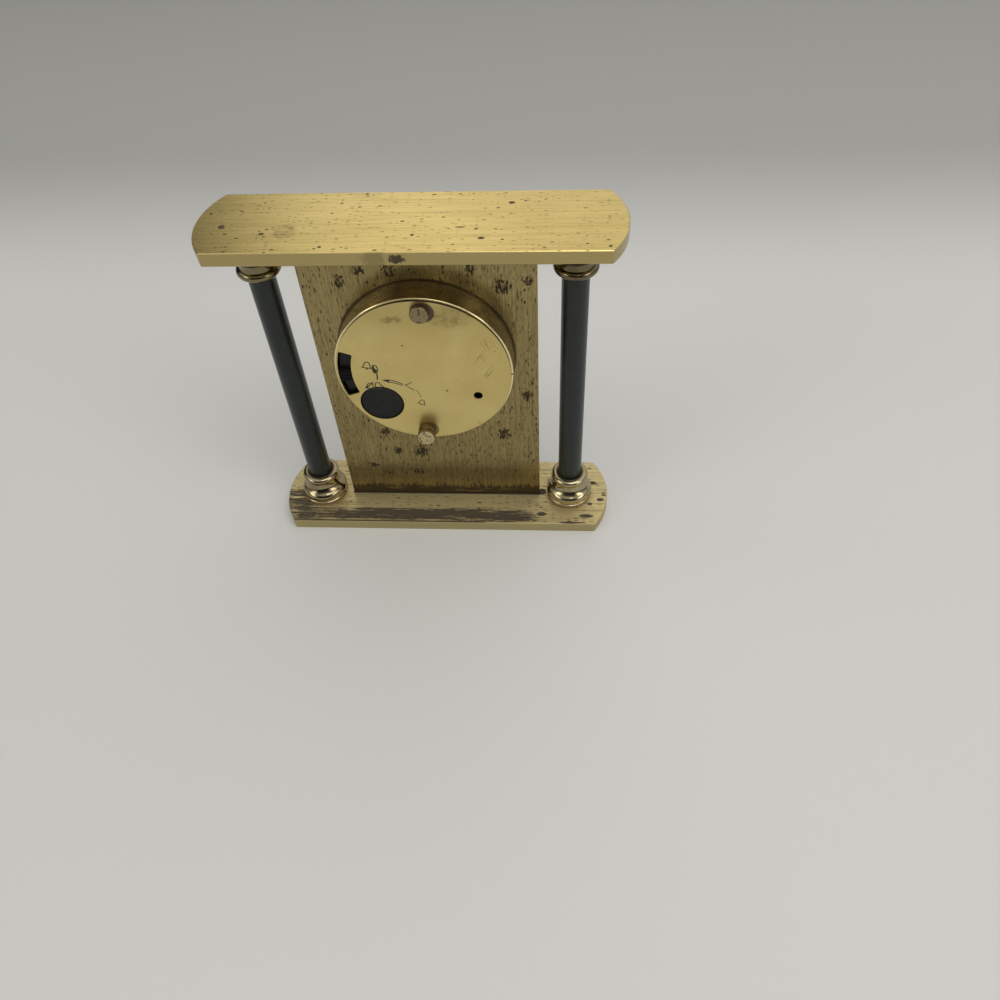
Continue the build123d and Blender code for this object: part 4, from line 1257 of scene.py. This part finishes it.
def dress(material: Material, *nodes: str) -> None:
    """Give carried-over nodes their finish.

    Args:
        material: Finish of the nodes.
        nodes: Names of the nodes.
    """
    for name in nodes:
        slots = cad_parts[name].data.materials
        slots.clear()
        slots.append(material)
        LOG.info("finish %s on %s", material.name, name)


def settle(piece: Object, body: str, slot: str, *nodes: str) -> None:
    """Let a piece ride on a body and hide the solids that it stands for.

    Args:
        piece: New piece.
        body: Body that it rides on.
        slot: Name of its material slot; not used.
        nodes: Solids that it stands for, if any.
    """
    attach(piece, body)
    if nodes:
        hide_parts(*nodes)


@dataclass
class Assembly:
    """What all sub-assemblies share: the finishes, and the two steps that put them on."""

    finishes: Finishes

    def build(self) -> None:
        """Make the new pieces; without any, all solids stay."""

    def dress(self) -> None:
        """Give the solids that stay their finishes."""
        raise NotImplementedError


@dataclass
class Stand(Assembly):
    """Base plate, top plate, upright plate, and the columns with their turned ferrules."""

    foot: Pair = (7.9, 1.0)
    crease: Pair = (7.4, 1.35)
    bulge: Pair = (8.0, 3.0)
    shoulder: Pair = (7.1, 4.8)
    neck: Pair = (5.4, 8.88)
    bead: Pair = (6.45, 10.2)
    lip: Pair = (4.06, 11.05)
    socket: Pair = (4.05, 9.8)
    bore: float = 2.05

    def ferrule_outline(self) -> Array:
        """Half section of a ferrule: foot, crease, bulge, hollow neck, bead and socket.

        Returns:
            Closed outline as rows of radius and height in millimetres.
        """
        bulge = arc_through(self.crease, self.bulge, self.shoulder, 22)
        hollow = arc_leaving(self.shoulder, bulge[-1] - bulge[-2], self.neck, 22)
        bead = arc_through(self.neck, self.bead, self.lip, 26)
        rows = [
            with_reach((self.bore, 0.0)),
            with_reach((self.foot[0], 0.0), 0.12),
            with_reach(self.foot, 0.35),
            with_reach(bulge[:1], 0.10),
            with_reach(bulge[1:]),
            with_reach(hollow[1:-1]),
            with_reach(bead[:1], 0.05),
            with_reach(bead[1:]),
            with_reach(self.socket),
            with_reach((self.bore, self.socket[1])),
        ]
        return eased(np.vstack(rows))

    def build(self) -> None:
        """Turn the four ferrules in place of their solids."""
        outline = self.ferrule_outline()
        for side in ("left", "right"):
            for end, axis in (("foot", UP), ("head", -UP)):
                node = f"{end}_ferrule_{side}"
                low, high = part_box(node)
                foot = middle_of(node)
                foot.z = low.z if end == "foot" else high.z
                # head ferrules take the darker copy: tarnish and painted shade under the top plate
                finish = self.finishes.polished if end == "foot" else self.finishes.aged_and_shaded
                piece = turned(f"turned_{node}", outline, foot, axis, finish)
                settle(piece, "clock_frame", "turned_brass", node)

    def dress(self) -> None:
        """Finish plates, columns and tie screws."""
        look = self.finishes
        dress(look.top, "top_plate")
        dress(look.base, "base_plate")
        dress(look.upright, "centre_plate")
        dress(look.lacquer, "column_left", "column_right")
        dress(look.steel, "tie_screw_left", "tie_screw_right")


@dataclass
class Drum(Assembly):
    """Can, rear disc with its marks, studs, thumb nuts, setting knob and alarm lever."""

    can_wall: float = 0.55
    rim_round: float = 0.5
    ledge: float = 0.5
    ledge_thickness: float = 0.6
    nut_teeth: int = 32
    nut_knurl: float = 0.14
    nut_groove: float = 0.22
    nut_edge: float = 0.25
    stud_bore: float = 1.3
    nut_cap: float = 0.6
    upper_end: Colour = (0.31, 0.250, 0.135)
    lower_end: Colour = (0.58, 0.500, 0.270)
    knob_ridges: int = 60
    knob_knurl: float = 0.07
    steps: int = 6
    print_height: float = 0.015
    worn_height: float = 0.010
    bell_line: float = 0.34

    def build(self) -> None:
        """Make the can, the nuts, the knob and the marks."""
        self.build_can()
        for place in ("upper", "lower"):
            self.build_nut(place)
        self.build_knob()
        self.build_marks()

    def build_can(self) -> None:
        """Spun can: straight wall, rolled rim, inner ledge that the disc lies on."""
        low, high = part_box("movement_can")
        depth, inner = (high.y - low.y) / MM, CAN_RADIUS - self.can_wall
        rows = [
            (inner, 0.0, 0.0),
            (CAN_RADIUS, 0.0, 0.10),
            (CAN_RADIUS, depth, self.rim_round),
            (inner - self.ledge, depth, 0.08),
            (inner - self.ledge, depth - self.ledge_thickness, 0.08),
            (inner, depth - self.ledge_thickness, 0.0),
        ]
        foot = on_axis("movement_can", low.y)
        piece = turned("spun_can", eased(rows, 9), foot, REARWARD, self.finishes.spun, 192)
        settle(piece, "rear_cover", "drum_brass", "movement_can")

    def build_nut(self, place: str) -> None:
        """Thumb nut: knurled side between two grooves, eased edges, shallow dish in the end.

        Args:
            place: Which nut, upper or lower.
        """
        node = f"thumb_nut_{place}"
        low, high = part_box(node)
        radius, length = (high.x - low.x) / 2 / MM, (high.y - low.y) / MM
        lip, waist = radius - self.nut_edge, radius - self.nut_groove
        rows = [
            (0.0, length - self.nut_cap, 0.0),
            (self.stud_bore, length - self.nut_cap, 0.0),
            (self.stud_bore, 0.0, 0.08),
            (lip, 0.0, 0.08),
            (lip, 0.42, 0.05),
            (radius, 0.62, 0.06),
            (radius, length - 0.85, 0.06),
            (waist, length - 0.72, 0.05),
            (waist, length - 0.52, 0.05),
            (radius - 0.02, length - 0.36, 0.10),
            (lip, length, 0.22),
            (0.9, length - 0.06, 0.30),
            (0.0, length - 0.08, 0.0),
        ]
        outline = eased(rows)
        side = (outline[:, 1] > 0.6) & (outline[:, 1] < length - 0.8) & (outline[:, 0] > radius - 0.1)
        end = self.upper_end if place == "upper" else self.lower_end
        finish = NutBrass(f"thumb_nut_brass_{place}", high.y / MM - self.nut_edge, end).material()
        knurl = (self.nut_teeth * self.steps, self.nut_teeth, np.where(side, self.nut_knurl, 0.0))
        piece = turned(f"knurled_nut_{place}", outline, on_axis(node, low.y), REARWARD, finish, *knurl)
        settle(piece, node, "nut_brass", node)

    def build_knob(self) -> None:
        """Setting knob: ridged rim, shallow dished face with a ring and a dimple in the middle."""
        low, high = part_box("setting_knob")
        radius, length = (high.x - low.x) / 2 / MM, (high.y - low.y) / MM
        rows = [
            (0.0, 0.0, 0.0),
            (radius - 0.15, 0.0, 0.08),
            (radius, 0.15, 0.08),
            (radius, length - 0.25, 0.10),
            (radius - 0.25, length, 0.10),
            (radius - 0.75, length, 0.08),
            (radius - 0.95, length - 0.10, 0.08),
            (1.15, length - 0.10, 0.10),
            (0.95, length - 0.02, 0.06),
            (0.62, length - 0.02, 0.06),
            (0.42, length - 0.34, 0.06),
            (0.0, length - 0.36, 0.0),
        ]
        outline = eased(rows)
        depth = np.where(outline[:, 0] > radius - 0.5, self.knob_knurl, 0.0)
        knurl = (self.knob_ridges * self.steps, self.knob_ridges, depth)
        foot = on_axis("setting_knob", low.y)
        piece = turned("dished_knob", outline, foot, REARWARD, self.finishes.black, *knurl)
        settle(piece, "setting_knob", "black_plastic", "setting_knob")

    def bell(self, marks: Print, x: float, z: float, size: float, lean: float) -> None:
        """Outline of a bell.

        Its half width at height v from 0 to 1 is 0.42 sqrt(1 - v^3) plus a flare 0.26 exp(-6 v) (1 - v);
        the two sides make one closed path, and a small dot hangs below.

        Args:
            marks: Print to draw on.
            x: Middle of the bell, as the object's X in millimetres.
            z: Foot of the bell.
            size: Height of the bell.
            lean: Turn in degrees.
        """
        v = np.linspace(0.0, 1.0, 12)
        half = 0.42 * np.sqrt(1.0 - v**3) + 0.26 * np.exp(-6.0 * v) * (1.0 - v)
        path = np.vstack([np.column_stack([half, v]), np.column_stack([-half, v])[::-1][1:]]) * size
        clapper = np.array([[0.0, -0.16 * size]])
        turn = np.radians(lean)
        rotate = np.array([[np.cos(turn), np.sin(turn)], [-np.sin(turn), np.cos(turn)]])
        marks.stroke(path @ rotate + [-x, z], self.bell_line, True)
        marks.dot((clapper @ rotate + [-x, z])[0], 0.14 * size)

    @staticmethod
    def curve(first: Point, middle: Point, last: Point) -> Array:
        """Bent line (1-t)^2 A + 2t(1-t) B + t^2 C between two points, drawn towards a third."""
        t = np.linspace(0.0, 1.0, 9)[:, None]
        return (1 - t) ** 2 * np.array(first) + 2 * t * (1 - t) * np.array(middle) + t**2 * np.array(last)

    def build_marks(self) -> None:
        """Printed signs by the lever and the knob: bells, a crossed bell and arrows."""
        origin = Vector((0.0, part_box("rear_disc")[1].y, 0.0))
        marks = Print(origin, REARWARD, self.print_height)
        self.bell(marks, 17.0, 71.5, 2.3, -10.0)
        self.bell(marks, 17.3, 63.4, 2.2, -12.0)
        marks.line((-18.6, 63.3), (-15.9, 65.9), 0.36)
        marks.stroke(self.curve((-14.5, 66.8), (-14.1, 69.0), (-14.6, 71.0)), 0.44)
        marks.stroke(self.curve((-14.4, 69.9), (-15.3, 70.4), (-15.0, 72.6)), np.linspace(1.8, 0.4, 9))
        marks.stroke(self.curve((-14.9, 72.4), (-13.6, 73.0), (-13.9, 69.9)), 0.34)
        self.bell(marks, 14.4, 63.6, 2.2, 14.0)
        marks.line((-10.9, 66.3), (-12.9, 66.7), np.array([1.4, 0.3]))
        marks.stroke(self.curve((-11.2, 66.8), (-8.9, 66.4), (-6.8, 65.0)), 0.32)
        marks.stroke(self.curve((-11.1, 65.9), (-8.9, 65.6), (-7.0, 64.4)), 0.32)
        settle(marks.piece("disc_signs", self.finishes.marks), "rear_cover", "drum_brass")
        worn = Print(origin, REARWARD, self.worn_height)
        worn.stroke(self.curve((-4.0, 65.9), (-5.2, 65.0), (-6.3, 64.8)), 0.36)
        worn.stroke(self.curve((-6.3, 64.8), (-5.0, 63.5), (-3.6, 62.6)), 0.32)
        worn.stroke(self.curve((-3.0, 62.6), (-2.0, 60.8), (-1.9, 59.6)), 0.22)
        self.bell(worn, 2.1, 56.9, 1.8, -20.0)
        settle(worn.piece("worn_signs", self.finishes.worn_marks), "rear_cover", "drum_brass")

    def dress(self) -> None:
        """Finish the disc, the studs, the setting arbor, the clip and the lever."""
        look = self.finishes
        dress(look.disc, "rear_disc")
        dress(look.steel, "cover_stud_upper", "cover_stud_lower", "setting_arbor", "lever_clip")
        dress(look.dull, "alarm_lever")


@dataclass
class FrontSide(Assembly):
    """Bezel, glass, dial with its print, and the four hands."""

    bezel: Pair = (29.2, 5.6)
    step: Pair = (28.7, 1.4)
    edge: float = 26.05
    glass_seat: Pair = (25.25, 4.2)
    dial_seat: Pair = (24.0, 0.55)
    sight: float = 23.2
    track_outer: float = 22.4
    track_inner: float = 21.4
    numeral_middle: float = 18.2
    numeral_height: float = 4.6
    alarm_ring: float = 11.2
    thick: float = 0.62
    thin: float = 0.20
    hairline: float = 0.12
    minute_tick: float = 0.16
    hour_tick: float = 0.5
    alarm_ticks: Pair = (0.6, 1.2)
    cap: Pair = (1.5, 0.50)

    def build(self) -> None:
        """Make the bezel, the print on the dial and the cap of the second hand."""
        self.build_bezel()
        self.build_print()
        self.build_cap()

    def build_bezel(self) -> None:
        """Bezel: stepped foot, hollow flank, land round the glass and a sloping sight ring."""
        flank = arc_leaving(self.step, (0.0, 1.0), (self.edge, self.bezel[1]), 26)
        rows = [
            with_reach((self.dial_seat[0], 0.0)),
            with_reach((self.bezel[0], 0.0), 0.08),
            with_reach((self.bezel[0], self.step[1]), 0.22),
            with_reach(flank[:1], 0.08),
            with_reach(flank[1:-1]),
            with_reach(flank[-1:], 0.14),
            with_reach((self.glass_seat[0], self.bezel[1]), 0.12),
            with_reach(self.glass_seat),
            with_reach((self.dial_seat[0], self.glass_seat[1]), 0.10),
            with_reach((self.sight, self.dial_seat[1])),
            with_reach(self.dial_seat),
        ]
        foot = on_axis("bezel_ring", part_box("bezel_ring")[1].y)
        piece = turned("turned_bezel", eased(np.vstack(rows)), foot, FORWARD, self.finishes.bezel, 192)
        settle(piece, "clock_frame", "turned_brass", "bezel_ring")

    def glyph(self, letter: str) -> list[tuple[Array, float]]:
        """Strokes of one numeral letter one unit high, centred on zero, with their widths.

        Args:
            letter: I, V or X.

        Returns:
            Rows of start and end, each with the width of its stroke in millimetres.
        """
        strokes = {
            "I": [([(0.0, -0.5), (0.0, 0.5)], self.thick)],
            "V": [([(-0.25, 0.5), (0.0, -0.5)], self.thick), ([(0.25, 0.5), (0.0, -0.5)], self.thin)],
            "X": [([(-0.25, 0.5), (0.25, -0.5)], self.thick), ([(0.25, 0.5), (-0.25, -0.5)], self.thin)],
        }[letter]
        ends = {"I": [(0.0, 0.5), (0.0, -0.5)], "V": [(-0.25, 0.5), (0.25, 0.5)]}
        ends["X"] = ends["V"] + [(-0.25, -0.5), (0.25, -0.5)]
        serifs = [([(x - 0.12, z), (x + 0.12, z)], self.thin) for x, z in ends[letter]]
        return [(np.array(path), width) for path, width in strokes + serifs]

    def numeral(self, dial: Print, text: str, hour: int) -> None:
        """Roman numeral with its foot towards the dial centre.

        Args:
            dial: Print to draw on.
            text: Letters of the numeral.
            hour: Place on the dial.
        """
        widths = {"I": 0.30, "V": 0.62, "X": 0.62}
        places = np.cumsum([0.0] + [widths[c] for c in text])
        turn = np.radians(30.0 * hour)
        rotate = np.array([[np.cos(turn), -np.sin(turn)], [np.sin(turn), np.cos(turn)]])
        for letter, start in zip(text, places):
            shift = np.array([start + widths[letter] / 2 - places[-1] / 2, 0.0])
            for path, width in self.glyph(letter):
                flat = (path + shift) * self.numeral_height + [0.0, self.numeral_middle]
                dial.stroke(flat @ rotate, width)

    @staticmethod
    def rays(count: int) -> Array:
        """Unit vectors at even steps round the dial, clockwise from the top."""
        turn = np.linspace(0.0, 2.0 * np.pi, count, endpoint=False)
        return np.column_stack([np.sin(turn), np.cos(turn)])

    def build_print(self) -> None:
        """Minute track, hour numerals and alarm ring."""
        dial = Print(on_axis("dial_disc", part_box("dial_disc")[0].y), FORWARD)
        for radius in (self.track_outer, self.track_inner, self.alarm_ring):
            dial.stroke(self.rays(180) * radius, self.hairline, True)
        for minute, ray in enumerate(self.rays(60)):
            width = self.hour_tick if minute % 5 == 0 else self.minute_tick
            dial.line(ray * self.track_inner, ray * self.track_outer, width)
        for quarter, ray in enumerate(self.rays(48)):
            reach = self.alarm_ticks[quarter % 4 == 0]
            dial.line(ray * self.alarm_ring, ray * (self.alarm_ring + reach), self.hairline)
        numerals = ("XII", "I", "II", "III", "IV", "V", "VI", "VII", "VIII", "IX", "X", "XI")
        for hour, text in enumerate(numerals):
            self.numeral(dial, text, hour)
        settle(dial.piece("dial_print", self.finishes.ink), "clock_frame", "hand_black")

    def build_cap(self) -> None:
        """Small domed cap on the second hand."""
        radius, height = self.cap
        dome = arc_through((radius, 0.10), (1.1, 0.34), (0.0, height), 12)
        rows = np.vstack([with_reach((0.0, 0.0)), with_reach((radius, 0.0), 0.03), with_reach(dome)])
        foot = on_axis("dial_disc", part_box("second_hand")[0].y)
        piece = turned("hand_cap", eased(rows), foot, FORWARD, self.finishes.hand_gold, 48)
        settle(piece, "second_hand", "hand_gold")

    def dress(self) -> None:
        """Finish dial, glass, hands, bushing nut and bezel screws."""
        look = self.finishes
        dress(look.dial, "dial_disc")
        dress(look.glass, "dial_glass")
        dress(look.hand_black, "minute_hand", "hour_hand")
        dress(look.hand_gold, "second_hand", "alarm_hand")
        dress(look.bezel, "bushing_nut")
        dress(look.steel, "bezel_screws")


@dataclass
class Movement(Assembly):
    """Quartz movement inside the drum: case, bridge, wheels, coil, board and cell; all solids stay."""

    def dress(self) -> None:
        """Finish every inner node."""
        look = self.finishes
        dress(look.black, "case_front", "case_rear", "piezo_buzzer")
        dress(look.white, "train_bridge", "minute_wheel", "hour_wheel", "alarm_wheel")
        dress(look.white, "alarm_pinion", "centre_wheel", "third_wheel", "intermediate_wheel")
        dress(look.arbor, "cannon_pinion", "second_wheel")
        dress(look.steel, "stator", "contact_plus", "contact_minus")
        dress(look.cell, "button_cell", "quartz_crystal")
        dress(look.magnet, "rotor")
        dress(look.copper, "coil")
        dress(look.board, "circuit_board")


@dataclass(frozen=True)
class TableTop(Finish):
    """Pale grey card with painted shade that darkens it softly behind the clock."""

    near: Colour = (0.655, 0.657, 0.64)
    far: Colour = (0.385, 0.385, 0.372)
    deep: Colour = (0.268, 0.266, 0.25)

    def paint(self, graph: Graph) -> Value:
        """Painted shade by the distance behind the clock, first fast and then slow, with faint clouds.

        Args:
            graph: Node tree to add to.

        Returns:
            The shader.
        """
        _, y, _ = graph.axes()
        cloud = graph.noise(0.004, 3.0)
        behind = y * -1.0 + cloud * 20.0
        # painted shade: the card's colour falls from near to far and deep behind the clock
        tone = graph.mix(behind.ramp(130.0, 290.0), self.near, self.far)
        return graph.surface(graph.mix(behind.ramp(260.0, 900.0), tone, self.deep), 0.75, 0.0)


@dataclass
class Studio:
    """Table, soft light and the camera."""

    table_radius: float = 2.5
    rings: int = 24
    spokes: int = 72
    camera_at: Triple = (-0.03957, 0.19805, 0.23179)
    right: Triple = (-0.997787, -0.051203, -0.042429)
    down: Triple = (-0.011478, 0.761089, -0.648546)
    forward: Triple = (0.065500, -0.646624, -0.759992)
    lens: float = 29.607
    lamp_at: Triple = (-0.30, 0.35, 0.85)
    lamp_aim: Triple = (0.0, 0.0, 0.06)
    lamp_size: Pair = (0.7, 0.5)
    lamp_colour: Colour = (1.0, 0.98, 0.95)
    lamp_power: float = 2.0
    daylight: Colour = (1.0, 0.985, 0.95)
    backdrop: Colour = (0.56, 0.555, 0.53)

    def build(self) -> None:
        """Set the table, the world, the lamp and the camera."""
        self.build_table()
        self.build_world()
        self.build_lamp()
        self.build_camera()

    def build_table(self) -> None:
        """Round table top: rings of growing radius, radius = share^2 times the full one."""
        radius = np.linspace(0.02, 1.0, self.rings)[:, None] ** 2 * self.table_radius
        turn = np.linspace(0.0, 2.0 * np.pi, self.spokes, endpoint=False)[None, :]
        points = np.stack([radius * np.cos(turn), radius * np.sin(turn), np.zeros_like(radius * turn)], -1)
        points[0] = 0.0
        faces = grid_faces(self.rings, self.spokes, False, True)
        table = make_piece("table_top", points, faces, TableTop("table_card").material())

    def build_world(self) -> None:
        """Room that is bright above and behind the clock, dim at eye level on the camera's side."""
        world = bpy.data.worlds.new("soft_room")
        bpy.context.scene.world = world
        world.use_nodes = True
        graph = Graph(world.node_tree)
        place = graph.node("ShaderNodeTexCoord", {}, {}, "Generated")
        x = graph.node("ShaderNodeSeparateXYZ", {}, {0: place}, "X")
        y, z = x.also("Y"), x.also("Z")
        front, aside = y * -1.0, x.size()
        behind = front.ramp(0.1, 0.4) * z.fall(0.7, 0.9)
        sky = 0.17 + z.ramp(0.0, 0.62) * 0.62 + (x - 0.17).size().fall(0.03, 0.17) * behind * 0.16
        sky = sky + front.ramp(0.2, 0.6) * z.fall(0.08, 0.38) * 0.50
        edge = 1.0 - x.ramp(0.29, 0.41) * behind * 0.94
        dim = y.ramp(0.20, 0.55) * z.fall(0.45, 0.85) * aside.fall(0.42, 0.66)
        window = aside.ramp(0.62, 0.68) * aside.fall(0.84, 0.90) * y.ramp(0.15, 0.25)
        window = window * z.ramp(0.20, 0.26) * z.fall(0.52, 0.60)
        level = sky * edge * (1.0 - dim * 0.92) + window * 2.2
        seen = graph.node("ShaderNodeLightPath", {}, {}, "Is Camera Ray")
        lit, plain = (
            graph.node("ShaderNodeBackground", {}, {"Color": colour, "Strength": strength}, "Background")
            for colour, strength in ((self.daylight, level), (self.backdrop, 1.0))
        )
        shader = graph.node("ShaderNodeMixShader", {}, {0: seen, 1: lit, 2: plain}, "Shader")
        graph.end(shader, "ShaderNodeOutputWorld")

    def build_lamp(self) -> None:
        """One large soft lamp high to the side, for shape and a soft shadow."""
        lamp = bpy.data.lights.new("soft_lamp", "AREA")
        lamp.shape = "RECTANGLE"
        lamp.size, lamp.size_y = self.lamp_size
        lamp.energy = self.lamp_power
        lamp.color = self.lamp_colour
        made = bpy.data.objects.new("soft_lamp", lamp)
        made.location = self.lamp_at
        made.rotation_mode = "QUATERNION"
        made.rotation_quaternion = (Vector(self.lamp_aim) - made.location).to_track_quat("-Z", "Y")
        bpy.context.scene.collection.objects.link(made)

    def build_camera(self) -> None:
        """Camera with the position and turn of the photograph."""
        lens = bpy.data.cameras.new("view_camera")
        lens.lens, lens.sensor_width = self.lens, 36.0
        lens.clip_start, lens.clip_end = 0.01, 20.0
        camera = bpy.data.objects.new("view_camera", lens)
        axes = Matrix((self.right, [-a for a in self.down], [-a for a in self.forward])).transposed()
        camera.matrix_world = Matrix.Translation(self.camera_at) @ axes.to_4x4()
        bpy.context.scene.collection.objects.link(camera)
        bpy.context.scene.camera = camera


def main() -> None:
    """Build and dress the sub-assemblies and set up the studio."""
    logging.basicConfig(level=logging.INFO, format="%(name)s: %(message)s")
    bpy.context.scene.view_settings.view_transform = "Standard"
    finishes = Finishes()
    for assembly in (Stand(finishes), Drum(finishes), FrontSide(finishes), Movement(finishes)):
        LOG.info("sub-assembly %s", type(assembly).__name__)
        assembly.build()
        assembly.dress()
    Studio().build()


if __name__ == "__main__":
    main()
